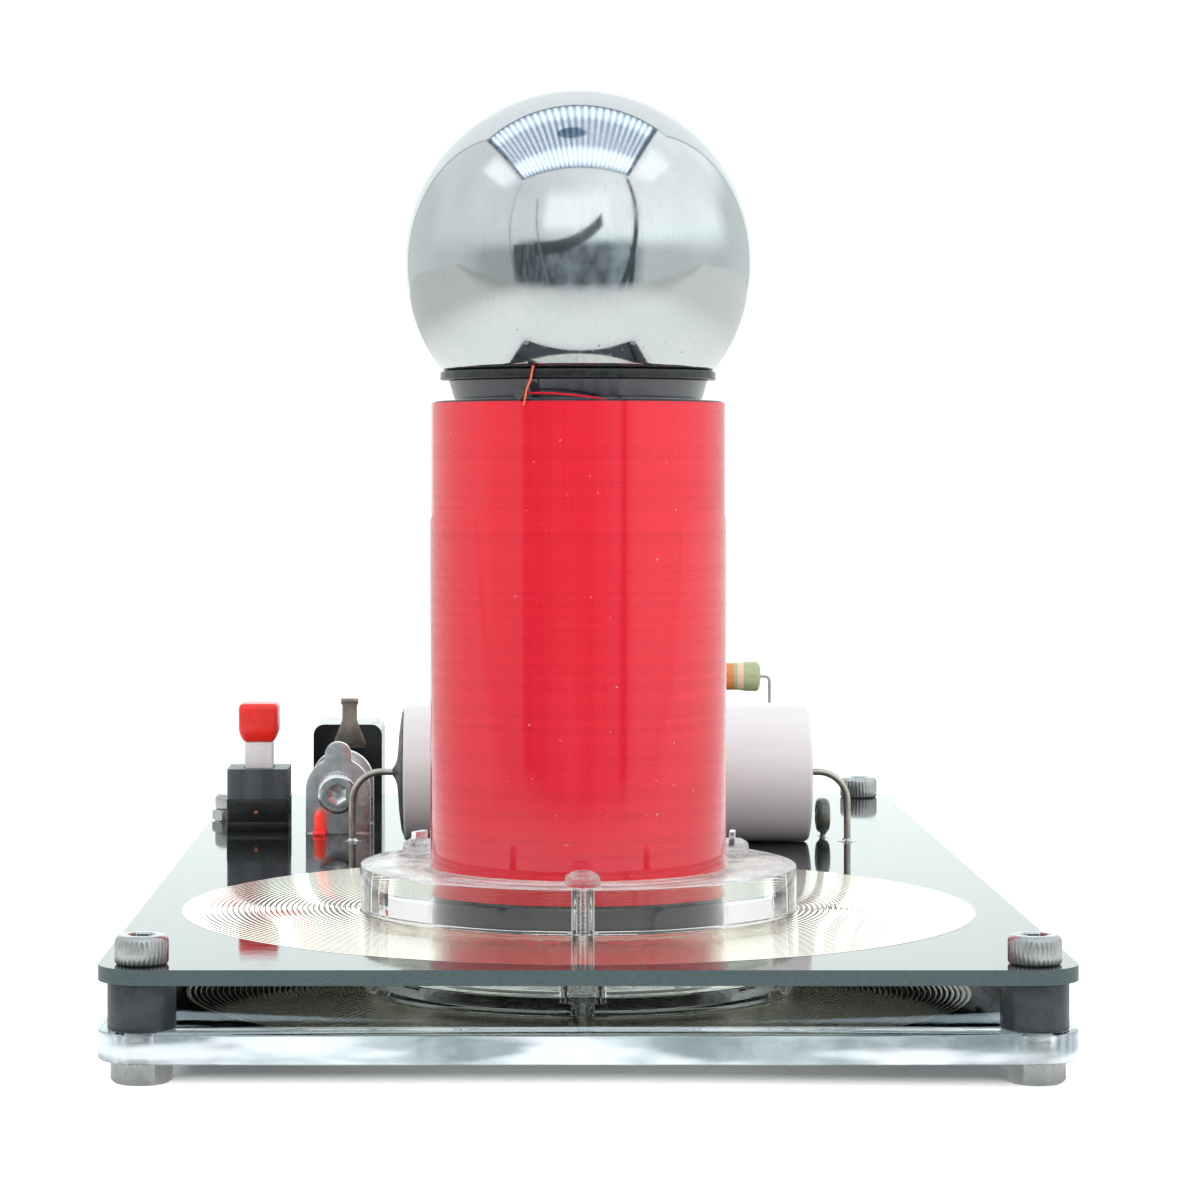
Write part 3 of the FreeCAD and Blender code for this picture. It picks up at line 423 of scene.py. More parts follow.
    # film capacitor: satin white film with the faint lap of its winding
    mat, g, p, co, out = shader("film_white")
    n = g.noise(g.scaled(co, (0.15, 1, 1)), 420, 3)
    g.put(p.inputs["Base Color"], g.mix(n, (0.74, 0.745, 0.765), (0.82, 0.825, 0.84)))
    g.put(p.inputs["Roughness"], g.lin(n, 0.3, 0.7, 0.3, 0.42))
    p.inputs["Coat Weight"].default_value = 0.35
    p.inputs["Coat Roughness"].default_value = 0.2
    p.inputs["Subsurface Weight"].default_value = 0.05
    p.inputs["Subsurface Radius"].default_value = (0.001, 0.001, 0.001)
    g.put(p.inputs["Normal"], g.bump(n, 0.00002))

    finish("epoxy_grey", (0.045, 0.05, 0.055), 0.35, var=0.3, vscale=700, rvar=0.15, bump=0.03, bscale=900, spec=0.6)
    finish("tinned_wire", (0.60, 0.57, 0.50), 0.4, 1.0, var=0.16, vscale=700, rvar=0.12, bump=0.003, bscale=3500)
    finish("inlet_black", (0.004, 0.0045, 0.005), 0.16, var=0.4, vscale=500, rvar=0.06, bump=0.002, bscale=2600, spec=0.5)
    finish("lacquer_dark", (0.13, 0.135, 0.115), 0.22, coat=0.6, var=0.3, vscale=600, rvar=0.08, bump=0.01, bscale=1500)
    finish("tongue_metal", (0.46, 0.40, 0.35), 0.38, 1.0, var=0.2, vscale=500, rvar=0.12, bump=0.006, bscale=2500)
    finish("switch_black", (0.008, 0.009, 0.010), 0.3, var=0.4, vscale=500, rvar=0.1, bump=0.008, bscale=2600, spec=0.55)
    finish("switch_grey", (0.115, 0.13, 0.145), 0.4, 0.6, var=0.2, vscale=500, rvar=0.12, bump=0.004, bscale=4000,
           stretch=(1, 1, 0.1))
    finish("stem_white", (0.78, 0.78, 0.8), 0.35, var=0.05, vscale=600, rvar=0.08, bump=0.004, bscale=2500)
    finish("cap_red", (0.86, 0.018, 0.012), 0.34, var=0.1, vscale=500, rvar=0.08, bump=0.006, bscale=3000, coat=0.3,
           coat_rough=0.15)
    finish("spring_steel", (0.55, 0.55, 0.54), 0.3, 1.0, var=0.15, vscale=900, bump=0.002)
    finish("bracket_steel", (0.82, 0.83, 0.84), 0.3, 1.0, var=0.08, vscale=500, rvar=0.09, bump=0.003, bscale=3500)
    finish("electrode_chrome", (0.82, 0.83, 0.84), 0.2, 1.0, var=0.08, vscale=500, rvar=0.07, bump=0.0015, bscale=3500)

    mat, g, p, co, out = shader("led_red")
    x, y, z = g.xyz(co)
    n = g.noise(co, 900, 3)
    g.put(p.inputs["Base Color"], g.mix(n, (0.80, 0.03, 0.02), (0.95, 0.09, 0.06)))
    g.put(p.inputs["Roughness"], g.lin(n, 0.3, 0.7, 0.06, 0.16))
    p.inputs["Transmission Weight"].default_value = 0.35
    p.inputs["Coat Weight"].default_value = 0.6
    g.put(p.inputs["Emission Color"], g.mix(g.step(z, 0.0123, 0.0152), (1.0, 0.05, 0.03), (1.0, 0.12, 0.07)))
    p.inputs["Emission Strength"].default_value = 0.3

    def banded(name, body, x0, bands, rough=0.3, soft=0.00008):
        """Lacquer with colour rings at places along X, in millimetres from x0."""
        mat, g, p, co, out = shader(name)
        x, y, z = g.xyz(co)
        wob = g.mul(g.add(g.noise(co, 900, 2), -0.5), 0.0003)
        xx = g.add(x, wob)
        n = g.noise(co, 700, 3)
        col = g.mix(n, tinted(body, 0.88), tinted(body, 1.1))
        for a, b, c in bands:
            col = g.mix(g.inside(xx, (x0 + a) / 1000, (x0 + b) / 1000, soft), col, c)
        g.put(p.inputs["Base Color"], col)
        g.put(p.inputs["Roughness"], g.lin(n, 0.3, 0.7, rough - 0.08, rough + 0.08))
        p.inputs["Coat Weight"].default_value = 0.5
        p.inputs["Coat Roughness"].default_value = 0.1
        g.put(p.inputs["Normal"], g.bump(g.noise(co, 1800, 3), 0.00002))

    banded("choke_green", (0.42, 0.50, 0.26), 15.5, [(1.4, 2.4, (0.42, 0.2, 0.03)), (3.5, 4.5, (0.05, 0.05, 0.05)),
                                                     (5.6, 8.2, (0.80, 0.24, 0.06)), (8.7, 9.6, (0.86, 0.6, 0.42))])
    banded("resistor_a", (0.62, 0.47, 0.28), -19.2, [(0.9, 1.5, (0.55, 0.03, 0.02)), (2.2, 2.7, (0.55, 0.03, 0.02)),
                                                     (3.3, 3.8, (0.75, 0.2, 0.02)), (5.1, 5.6, (0.7, 0.45, 0.1))])
    banded("resistor_b", (0.62, 0.47, 0.28), 20.8, [(0.9, 1.5, (0.3, 0.1, 0.03)), (2.2, 2.7, (0.01, 0.01, 0.01)),
                                                    (3.3, 3.8, (0.55, 0.03, 0.02)), (5.1, 5.6, (0.7, 0.45, 0.1))])
    banded("diode_black", (0.022, 0.022, 0.024), 4.5, [(5.4, 6.2, (0.62, 0.63, 0.64))], 0.4, 0.00003)
    finish("case_black", (0.02, 0.02, 0.022), 0.5, var=0.3, vscale=700, rvar=0.12, bump=0.02, bscale=1800)
    finish("ferrite", (0.055, 0.057, 0.062), 0.5, var=0.35, vscale=900, rvar=0.15, bump=0.03, bscale=1500, wear=0.5,
           wear_col=(0.2, 0.2, 0.21))
    finish("bobbin_black", (0.018, 0.018, 0.021), 0.4, var=0.3, vscale=700, rvar=0.1, bump=0.01, bscale=2000)

    # polyester tape: yellow film with the lap of each layer and small creases
    mat, g, p, co, out = shader("tape_yellow")
    x, y, z = g.xyz(co)
    n = g.noise(g.scaled(co, (1, 1, 0.4)), 420, 4, 0.6)
    lap = g.step(g.m("SINE", g.mul(z, 2400.0)), 0.75, 0.95)
    c = g.mix(n, (0.78, 0.50, 0.03), (0.90, 0.64, 0.07))
    g.put(p.inputs["Base Color"], g.mix(g.mul(lap, 0.3), c, (0.6, 0.33, 0.02)))
    g.put(p.inputs["Roughness"], g.lin(n, 0.3, 0.7, 0.18, 0.34))
    p.inputs["Coat Weight"].default_value = 0.4
    g.put(p.inputs["Normal"], g.bump(g.add(n, g.mul(lap, 0.4)), 0.00005))

    finish("copper_wire", (0.72, 0.27, 0.12), 0.25, 1.0, var=0.15, vscale=900, bump=0.002)
    finish("tab_tin", (0.58, 0.58, 0.57), 0.34, 1.0, var=0.14, vscale=500, rvar=0.12, bump=0.004, bscale=2500, stretch=(1, 1, 0.2))
    finish("sink_black", (0.02, 0.02, 0.023), 0.42, 0.5, var=0.3, vscale=500, rvar=0.12, bump=0.006, bscale=2600,
           stretch=(1, 1, 0.08), wear=0.35, wear_col=(0.3, 0.3, 0.31))

    # electrolytic capacitor: sleeve with a plain pale stripe down one side, bare aluminium on top
    mat, g, p, co, out = shader("can_blue")
    x, y, z = g.xyz(co)
    n = g.noise(co, 600, 3)
    dx, dy = g.add(x, -0.0305), g.add(y, -0.062)
    a = g.m("ARCTAN2", dy, dx)
    stripe = g.mul(g.inside(a, 2.2, 2.95, 0.02), g.step(z, 0.0225, 0.0223))
    sleeve = g.mix(n, (0.012, 0.018, 0.05), (0.02, 0.03, 0.08))
    sleeve = g.mix(stripe, sleeve, (0.45, 0.5, 0.55))
    rad = g.m("SQRT", g.add(g.mul(dx, dx), g.mul(dy, dy)))
    bare = g.mul(g.step(z, 0.0231, 0.0232), g.step(rad, 0.00335, 0.00328))
    g.put(p.inputs["Base Color"], g.mix(bare, sleeve, (0.68, 0.69, 0.70)))
    g.put(p.inputs["Metallic"], bare)
    g.put(p.inputs["Roughness"], g.lin(n, 0.3, 0.7, 0.2, 0.36))
    p.inputs["Coat Weight"].default_value = 0.3
    g.put(p.inputs["Normal"], g.bump(n, 0.00002))

    # mask over bare glass fibre between the turns
    mat, g, p, co, out = shader("mask_trace")
    g.put(p.inputs["Base Color"], g.mix(g.noise(co, 300, 3), (0.26, 0.24, 0.18), (0.33, 0.30, 0.23)))
    g.put(p.inputs["Roughness"], g.lin(g.noise(co, 420, 3), 0.3, 0.7, 0.05, 0.1))
    p.inputs["IOR"].default_value = 1.56
    g.put(p.inputs["Normal"], g.bump(g.noise(co, 800, 3), 0.0000016))


make_materials()


# ------------------------------------------------------------------ mesh helpers (millimetres)
def at(axis, c, r, a, h):
    """A point at radius r and angle a about an axis through c, h along it."""
    u, v = r * math.cos(a), r * math.sin(a)
    if axis == "z":
        return (c[0] + u, c[1] + v, c[2] + h)
    if axis == "x":
        return (c[0] + h, c[1] + u, c[2] + v)
    return (c[0] + v, c[1] + h, c[2] + u)


def polar(bm, rows, c=(0, 0, 0), axis="z", n=64, mat=0, close=False):
    """A skin over rows of points round an axis. A row is (radius, height) or a function of the angle that gives them.
    A radius of 0 is a pole. close joins the last row to the first."""
    made = []
    for row in rows:
        f = row if callable(row) else (lambda a, row=row: row)
        if not callable(row) and row[0] == 0:
            made.append([bm.verts.new(at(axis, c, 0, 0, row[1]))])
        else:
            made.append([bm.verts.new(at(axis, c, *(lambda rh, a: (rh[0], a, rh[1]))(f(PI2 * i / n), PI2 * i / n)))
                         for i in range(n)])
    faces = []
    pairs = list(zip(made, made[1:])) + ([(made[-1], made[0])] if close else [])
    for a, b in pairs:
        for i in range(n):
            j = (i + 1) % n
            if len(a) == 1 and len(b) == 1:
                continue
            if len(a) == 1:
                faces.append(bm.faces.new((a[0], b[i], b[j])))
            elif len(b) == 1:
                faces.append(bm.faces.new((a[i], a[j], b[0])))
            else:
                faces.append(bm.faces.new((a[i], a[j], b[j], b[i])))
    for f in faces:
        f.material_index = mat
    return faces


def fillet(pts, rad, segs=4):
    """Round every corner of an open profile but its two ends. rad is a number or a list, one for each point."""
    out = [pts[0]]
    for i in range(1, len(pts) - 1):
        r = rad[i] if isinstance(rad, (list, tuple)) else rad
        a, p, b = (Vector((q[0], q[1])) for q in pts[i - 1:i + 2])
        u, w = a - p, b - p
        lu, lw = u.length, w.length
        if r <= 0 or lu < 1e-6 or lw < 1e-6:
            out.append(pts[i])
            continue
        u, w = u / lu, w / lw
        ang = math.acos(max(-1, min(1, u.dot(w)))) / 2
        if ang > math.radians(88):
            out.append(pts[i])
            continue
        d = min(r / math.tan(ang), lu * 0.49, lw * 0.49)
        r = d * math.tan(ang)
        c = p + (u + w).normalized() * (r / math.sin(ang))
        s, e = p + u * d - c, p + w * d - c
        turn = math.atan2(s.x * e.y - s.y * e.x, s.dot(e))
        for k in range(segs + 1):
            t = turn * k / segs
            out.append((c.x + s.x * math.cos(t) - s.y * math.sin(t), c.y + s.x * math.sin(t) + s.y * math.cos(t)))
    out.append(pts[-1])
    return out


def ring_profile(r0, r1, h0, h1, rad, segs=3):
    """Closed profile of a ring with rounded edges, for polar(close=True)."""
    pts = [(r0, (h0 + h1) / 2), (r0, h0), (r1, h0), (r1, h1), (r0, h1), (r0, (h0 + h1) / 2 + 1e-4)]
    return fillet(pts, rad, segs)


def circle(cx, cy, r, n=48, start=0.0):
    return [(cx + r * math.cos(start + PI2 * i / n), cy + r * math.sin(start + PI2 * i / n)) for i in range(n)]


def rrect(w, d, r, cx=0, cy=0, n=8):
    pts = []
    for sx, sy, a0 in ((1, 1, 0), (-1, 1, 90), (-1, -1, 180), (1, -1, 270)):
        for k in range(n + 1):
            a = math.radians(a0 + 90 * k / n)
            pts.append((cx + sx * (w / 2 - r) + r * math.cos(a), cy + sy * (d / 2 - r) + r * math.sin(a)))
    return pts


def slab(bm, outer, holes, h0, h1, bevel=0.0, segs=2, axis="z", mat=0):
    """A sheet with that outline and those holes, from h0 to h1 along an axis, with rounded rims."""
    def place(u, v, h):
        return {"z": (u, v, h), "y": (u, h, v), "x": (h, u, v)}[axis]

    edges, before = [], set(bm.faces)
    for loop in [outer] + list(holes):
        vs = [bm.verts.new(place(u, v, h0)) for u, v in loop]
        edges += [bm.edges.new((vs[i], vs[(i + 1) % len(vs)])) for i in range(len(vs))]
    if holes:
        faces = [f for f in bmesh.ops.triangle_fill(bm, use_beauty=True, use_dissolve=False, edges=edges)["geom"]
                 if isinstance(f, bmesh.types.BMFace)]
    else:
        faces = [bm.faces.new(vs)]
    ret = bmesh.ops.extrude_face_region(bm, geom=faces)["geom"]
    d = Vector(place(0, 0, h1)) - Vector(place(0, 0, h0))
    bmesh.ops.translate(bm, verts=[v for v in ret if isinstance(v, bmesh.types.BMVert)], vec=d)
    made = [f for f in bm.faces if f not in before]
    bmesh.ops.recalc_face_normals(bm, faces=made)
    if bevel:
        bm.normal_update()
        rim = [e for e in {e for f in made for e in f.edges}
               if len(e.link_faces) == 2 and e.calc_face_angle(0) > math.radians(50)]
        bmesh.ops.bevel(bm, geom=rim, offset=bevel, segments=segs, profile=0.5, affect="EDGES", clamp_overlap=True)
        made = [f for f in bm.faces if f not in before]
    for f in made:
        f.material_index = mat
    return made


def rbox(bm, lo, hi, bevel=0.2, segs=3, mat=0, taper=None):
    """A box with rounded edges. taper moves the low corners in by that much."""
    before = set(bm.faces)
    t = taper or 0
    vs = []
    for z in (lo[2], hi[2]):
        k = t if z == lo[2] else 0
        vs += [bm.verts.new(p) for p in ((lo[0] + k, lo[1] + k, z), (hi[0] - k, lo[1] + k, z), (hi[0] - k, hi[1] - k, z),
                                         (lo[0] + k, hi[1] - k, z))]
    for q in ((0, 3, 2, 1), (4, 5, 6, 7), (0, 1, 5, 4), (1, 2, 6, 5), (2, 3, 7, 6), (3, 0, 4, 7)):
        bm.faces.new([vs[i] for i in q])
    made = [f for f in bm.faces if f not in before]
    if bevel:
        bmesh.ops.bevel(bm, geom=list({e for f in made for e in f.edges}), offset=bevel, segments=segs, profile=0.5,
                        affect="EDGES", clamp_overlap=True)
        made = [f for f in bm.faces if f not in before]
    for f in made:
        f.material_index = mat
    return made


def screw_skin(bm, r, depth, pitch, h0, h1, c=(0, 0, 0), axis="z", n=32, mat=0, profile=((0, 0), (0.5, 1)), caps=True):
    """A threaded or close-wound skin: a groove that climbs one pitch each turn. profile is (part of the pitch, depth)."""
    rows = []
    k = int((h1 - h0) / pitch) + 3
    for i in range(-1, k):
        for part, d in profile:
            rows.append((h0 + (i + part) * pitch, r - depth * d))
    cut = [lambda a, h=h, rr=rr: (rr, min(h1, max(h0, h + pitch * a / PI2))) for h, rr in rows]
    verts = []
    for f in cut:
        verts.append([bm.verts.new(at(axis, c, *(lambda rh, a: (rh[0], a, rh[1]))(f(PI2 * i / n), PI2 * i / n)))
                      for i in range(n)])
    faces = []
    step = len(profile)
    for k0 in range(len(verts) - 1):
        for i in range(n):
            j = (i + 1) % n
            if j:
                q = (verts[k0][i], verts[k0][j], verts[k0 + 1][j], verts[k0 + 1][i])
            else:  # the last column meets the first one turn on
                if k0 + step + 1 >= len(verts):
                    continue
                q = (verts[k0][i], verts[k0 + step][0], verts[k0 + step + 1][0], verts[k0 + 1][i])
            hs = {round(v.co[("xyz").index(axis)], 6) for v in q}
            if len(hs) == 1:  # squashed flat at an end
                continue
            faces.append(bm.faces.new(q))
    for f in faces:
        f.material_index = mat
    if caps:
        for h in (h0, h1):
            faces += polar(bm, [(0, h), (r, h)], c, axis, n, mat)
    return faces


def tube(bm, pts, rad, n=10, mat=0, caps=True):
    """A round wire through points. rad is a number or a list."""
    pts = [Vector(p) for p in pts]
    rads = rad if isinstance(rad, (list, tuple)) else [rad] * len(pts)
    t0 = (pts[1] - pts[0]).normalized()
    up = Vector((0, 0, 1)) if abs(t0.z) < 0.9 else Vector((1, 0, 0))
    side = t0.cross(up).normalized()
    rows = []
    for i, p in enumerate(pts):
        t = (pts[min(i + 1, len(pts) - 1)] - pts[max(i - 1, 0)]).normalized()
        side = (side - t * side.dot(t)).normalized()
        other = t.cross(side)
        rows.append([bm.verts.new(p + (side * math.cos(PI2 * k / n) + other * math.sin(PI2 * k / n)) * rads[i])
                     for k in range(n)])
    faces = []
    for a, b in zip(rows, rows[1:]):
        for i in range(n):
            j = (i + 1) % n
            faces.append(bm.faces.new((a[i], a[j], b[j], b[i])))
    if caps:
        faces += [bm.faces.new(rows[0][::-1]), bm.faces.new(rows[-1])]
    for f in faces:
        f.material_index = mat
    return faces


def smooth_path(pts, rad, segs=8):
    """Round the corners of a 3-D polyline with arcs."""
    pts = [Vector(p) for p in pts]
    out = [pts[0]]
    for i in range(1, len(pts) - 1):
        u, w = pts[i - 1] - pts[i], pts[i + 1] - pts[i]
        lu, lw = u.length, w.length
        u, w = u / lu, w / lw
        half = u.angle(w) / 2
        d = min(rad / math.tan(half), lu * 0.49, lw * 0.49)
        a, b = pts[i] + u * d, pts[i] + w * d
        for k in range(segs + 1):
            t = k / segs
            out.append(a * (1 - t) ** 2 + pts[i] * 2 * t * (1 - t) + b * t * t)
    out.append(pts[-1])
    return out


def piece(name, bm, mats, body="root", replaces=(), sharp=38, weld=True, recalc=True):
    if weld:
        bmesh.ops.remove_doubles(bm, verts=bm.verts, dist=0.0004)
    if recalc:
        bmesh.ops.recalc_face_normals(bm, faces=bm.faces)
    bmesh.ops.scale(bm, vec=(0.001, 0.001, 0.001), verts=bm.verts)
    me = bpy.data.meshes.new(name)
    bm.to_mesh(me)
    bm.free()
    for m in mats if isinstance(mats, (list, tuple)) else [mats]:
        me.materials.append(MATS[m])
    me.shade_smooth()
    me.set_sharp_from_angle(angle=math.radians(sharp))
    ob = bpy.data.objects.new(name, me)
    scene.collection.objects.link(ob)
    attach(ob, body)
    if replaces:
        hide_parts(*replaces)
    return ob


def carve(ob, bm):
    """Cut a shape given in millimetres out of a finished piece."""
    bmesh.ops.recalc_face_normals(bm, faces=bm.faces)
    bmesh.ops.scale(bm, vec=(0.001, 0.001, 0.001), verts=bm.verts)
    me = bpy.data.meshes.new("cutter")
    bm.to_mesh(me)
    bm.free()
    tool = bpy.data.objects.new("cutter", me)
    scene.collection.objects.link(tool)
    mod = ob.modifiers.new("cut", "BOOLEAN")
    mod.operation, mod.solver, mod.object = "DIFFERENCE", "EXACT", tool
    bpy.context.view_layer.update()
    new = bpy.data.meshes.new_from_object(ob.evaluated_get(bpy.context.evaluated_depsgraph_get()))
    ob.modifiers.clear()
    bpy.data.objects.remove(tool)
    if not new.polygons:  # the cut failed, so the piece stays whole
        bpy.data.meshes.remove(new)
        return ob
    old, ob.data = ob.data, new
    bpy.data.meshes.remove(old)
    new.shade_smooth()
    new.set_sharp_from_angle(angle=math.radians(38))
    return ob


def hexr(af, a, turn=0.0):
    """Radius of a hexagon at an angle, with a corner at angle 0."""
    t = (a + turn) % (math.pi / 3) - math.pi / 6
    return af / 2 / math.cos(t)


def hex_nut(bm, af, bore, h0, h1, c, axis="z", mat=0, chamfer_low=True, chamfer_high=True):
    rc, n = af / 2 * 0.985, 72
    k = math.tan(math.radians(30))

    def corner(h, sign):
        return lambda a: (hexr(af, a), h + sign * k * (hexr(af, a) - rc))
    rows = [(bore + 0.12, h0), (rc, h0)]
    rows += [corner(h0, 1 if chamfer_low else 0)]
    rows += [corner(h1, -1 if chamfer_high else 0), (rc, h1), (bore + 0.12, h1), (bore, h1 - 0.12), (bore, h0 + 0.12)]
    polar(bm, rows, c, axis, n, mat, close=True)


def socket_head(bm, r, h0, h1, af, depth, c, axis="z", knurl=34, mat=0, flip=False):
    """Knurled cylinder head with a hexagon recess in its far end (h1)."""
    n = knurl * 6
    n -= n % 6
    s = -1 if h1 < h0 else 1

    def kn(rr):
        return lambda a: rr - 0.09 * (0.5 + 0.5 * math.cos(a * knurl))

    def row(rf, h):
        return lambda a: (rf(a), h)
    plain = lambda rr: (lambda a: rr)
    rows = [(0, h0), row(plain(r - 0.25), h0), row(plain(r - 0.1), h0 + 0.12 * s), row(kn(r), h0 + 0.3 * s),
            row(kn(r), h1 - 0.55 * s), row(plain(r - 0.1), h1 - 0.4 * s), row(plain(r - 0.16), h1 - 0.25 * s),
            row(plain(r - 0.4), h1 - 0.03 * s), row(plain(r - 0.5), h1),
            row(lambda a: hexr(af, a) + 0.14, h1), row(lambda a: hexr(af, a), h1 - 0.16 * s),
            row(lambda a: hexr(af, a), h1 - depth * s), (0, h1 - (depth + 0.35) * s)]
    polar(bm, rows, c, axis, n, mat)


# ------------------------------------------------------------------ base sheet and corner hardware
CORNERS = [(sx * 45.5, sy * 85.5) for sy in (-1, 1) for sx in (-1, 1)]
bm = bmesh.new()
slab(bm, rrect(99.98, 179.98, 5.0, n=10), [circle(x, y, 1.6, 36) for x, y in CORNERS], 2.41, 5.39, 0.16, 3)
piece("base_sheet_clear", bm, "clear_sheet", replaces=["base_plate"])

bm = bmesh.new()
for i, (x, y) in enumerate(CORNERS):
    socket_head(bm, 2.75, TOP, TOP + 3.0, 2.5, 1.5, (x, y, 0))
    screw_skin(bm, 1.5, 0.16, 0.5, 0.5, TOP + 0.05, (x, y, 0), n=28, profile=((0, 0), (0.22, 0.15), (0.5, 1), (0.78, 0.15)))
    polar(bm, [(0, 0.3), (1.15, 0.3), (1.34, 0.5)], (x, y, 0), n=28)
piece("corner_bolts_knurled", bm, "steel_bolt", replaces=["corner_bolts"])

bm = bmesh.new()
for i, (x, y) in enumerate(CORNERS):
    hex_nut(bm, 5.5, 1.52, 0.0, 2.4, (x, y, 0))
piece("foot_nuts_turned", bm, "steel_bolt", replaces=["foot_nuts"])

bm = bmesh.new()
for x, y in CORNERS:
    polar(bm, ring_profile(1.62, 3.5, 5.4, 10.4, 0.22), (x, y, 0), n=64, close=True)
    # faint parting line of the mould
    for sx in (-1, 1):
        rbox(bm, (x + sx * 3.47 - 0.04, y - 0.06, 5.7), (x + sx * 3.47 + 0.04, y + 0.06, 10.1), 0.02, 1)
piece("corner_spacers_moulded", bm, "black_spacer", replaces=["corner_spacers"])


# ------------------------------------------------------------------ printed spiral, both faces
SCREWS = [(21.3 * math.cos(a), CY + 21.3 * math.sin(a)) for a in (math.radians(d) for d in (-90, 30, 150))]


def spiral(name, node, h0, h1, start):
    """A flat-topped trace wound inwards, broken where a ring screw passes through, with a round pad at each end."""
    bm = bmesh.new()
    pitch, w = 0.655, 0.59
    turns, n = 41.2, 150
    up = 1 if h1 > h0 else -1
    prof = [(-w / 2, h0 - 0.004 * up), (-w / 2 + 0.002, h1 - 0.002 * up), (-w / 2 + 0.006, h1), (w / 2 - 0.006, h1),
            (w / 2 - 0.002, h1 - 0.002 * up), (w / 2, h0 - 0.004 * up)]
    runs, run = [], []
    for i in range(int(turns * n) + 1):
        a = start + up * PI2 * i / n
        r = 45.5 - w / 2 - pitch * i / n
        x, y = r * math.cos(a), CY + r * math.sin(a)
        if min(math.hypot(x - sx, y - sy) for sx, sy in SCREWS) < 1.25 + w / 2 + 0.2:
            if len(run) > 1:
                runs.append(run)
            run = []
            continue
        run.append([bm.verts.new(((r + du) * math.cos(a), CY + (r + du) * math.sin(a), h)) for du, h in prof])
    runs.append(run)
    for rows in runs:
        for a, b in zip(rows, rows[1:]):
            for k in range(len(prof) - 1):
                bm.faces.new((a[k], a[k + 1], b[k + 1], b[k]))
            bm.faces.new((a[-1], a[0], b[0], b[-1]))
        bm.faces.new(rows[0])
        bm.faces.new(rows[-1])
    for i, out in ((0, 0.85), (int(turns * n), -0.8)):
        a = start + up * PI2 * i / n
        r = 45.5 - w / 2 - pitch * i / n + out
        lo, hi = sorted((h0 - 0.003 * up, h1))
        polar(bm, ring_profile(0.2, 0.7, lo, hi, 0.02, 1), (r * math.cos(a), CY + r * math.sin(a), 0), n=24, close=True)
    return piece(name, bm, "gold_track", replaces=[node], sharp=30, weld=False)


spiral("printed_spiral_top", "primary_track_top", TOP, TOP + 0.02, math.radians(70))
spiral("printed_spiral_under", "primary_track_bottom", LOW, LOW - 0.02, math.radians(110))

# solder mask that fills the gaps between the turns, a little lower than the plate
bm = bmesh.new()
for h0, h1 in ((TOP - 0.01, TOP + 0.017), (LOW - 0.017, LOW + 0.01)):
    slab(bm, circle(0, CY, 45.35, 240), [circle(0, CY, 18.1, 120)] + [circle(x, y, 1.3, 30) for x, y in SCREWS], h0, h1)
piece("mask_between_turns", bm, "mask_trace", sharp=30)

# ------------------------------------------------------------------ clear rings and their screws
bm = bmesh.new()
slab(bm, circle(0, CY, 24.99, 200), [circle(0, CY, 17.2, 160)] + [circle(x, y, 1.2, 36) for x, y in SCREWS], 12.04,
     16.985, 0.13, 3)
piece("coil_ring_clear", bm, "ring_acrylic", replaces=["coil_base_ring"], sharp=30)

bm = bmesh.new()
slab(bm, circle(0, CY, 24.99, 200), [circle(0, CY, 17.2, 160)] + [circle(x, y, 1.2, 36) for x, y in SCREWS], 5.46,
     10.315, 0.13, 3)
low_ring = piece("lower_ring_clear", bm, "clear_acrylic", replaces=["coil_lower_ring"], sharp=30)
bm = bmesh.new()
for x, y in SCREWS:
    polar(bm, [(0, 4.9), (2.45, 4.9), (2.45, 7.34), (0, 7.34)], (x, y, 0), n=48)
carve(low_ring, bm)

bm = bmesh.new()
for x, y in SCREWS:
    dome = fillet([(0, 17.0), (1.85, 17.0), (2.0, 17.25), (1.85, 18.15), (1.1, 18.62), (0, 18.7)], [0, .08, .2, .5, .9, 0], 4)
    dome[0] = (0, 17.0)
    polar(bm, dome, (x, y, 0), n=48)
    screw_skin(bm, 1.0, 0.08, 0.4, 6.0, 17.0, (x, y, 0), n=26, profile=((0, 0), (0.2, 0.1), (0.5, 1), (0.8, 0.1)))
    polar(bm, [(0, 5.7), (0.75, 5.7), (0.86, 6.0)], (x, y, 0), n=26)
heads = piece("ring_screws_clear", bm, "clear_nylon", replaces=["base_screws"], weld=False)
for k, (x, y) in enumerate(SCREWS):
    bm = bmesh.new()
    a = 0.35 + 1.1 * k
    for t in (a, a + math.pi / 2):
        faces = rbox(bm, (-1.25, -0.33, 17.75), (1.25, 0.33, 19.5), 0.05, 1)
        vs = list({v for f in faces for v in f.verts})
        bmesh.ops.rotate(bm, verts=vs, cent=(0, 0, 0), matrix=Matrix.Rotation(t, 3, "Z"))
        bmesh.ops.translate(bm, verts=vs, vec=(x, y, 0))
    carve(heads, bm)

bm = bmesh.new()
for x, y in SCREWS:
    hex_nut(bm, 4.0, 1.02, 5.65, 7.25, (x, y, 0))
piece("ring_nuts_clear", bm, "clear_nylon", replaces=["base_screw_nuts"])

# ------------------------------------------------------------------ coil
bm = bmesh.new()
PITCH = 0.3
screw_skin(bm, 17.0, 0.03, PITCH, 14.4, 69.8, (0, CY, 0), n=112, caps=False,
           profile=((0.0, 1.0), (0.14, 0.42), (0.34, 0.06), (0.5, 0.0), (0.66, 0.06), (0.86, 0.42)))
for h in (14.4, 69.8):
    polar(bm, [(16.62, h), (16.93, h)], (0, CY, 0), n=112)
piece("secondary_wound", bm, "red_winding", replaces=["secondary_winding"], sharp=60, weld=False,
      recalc=True)

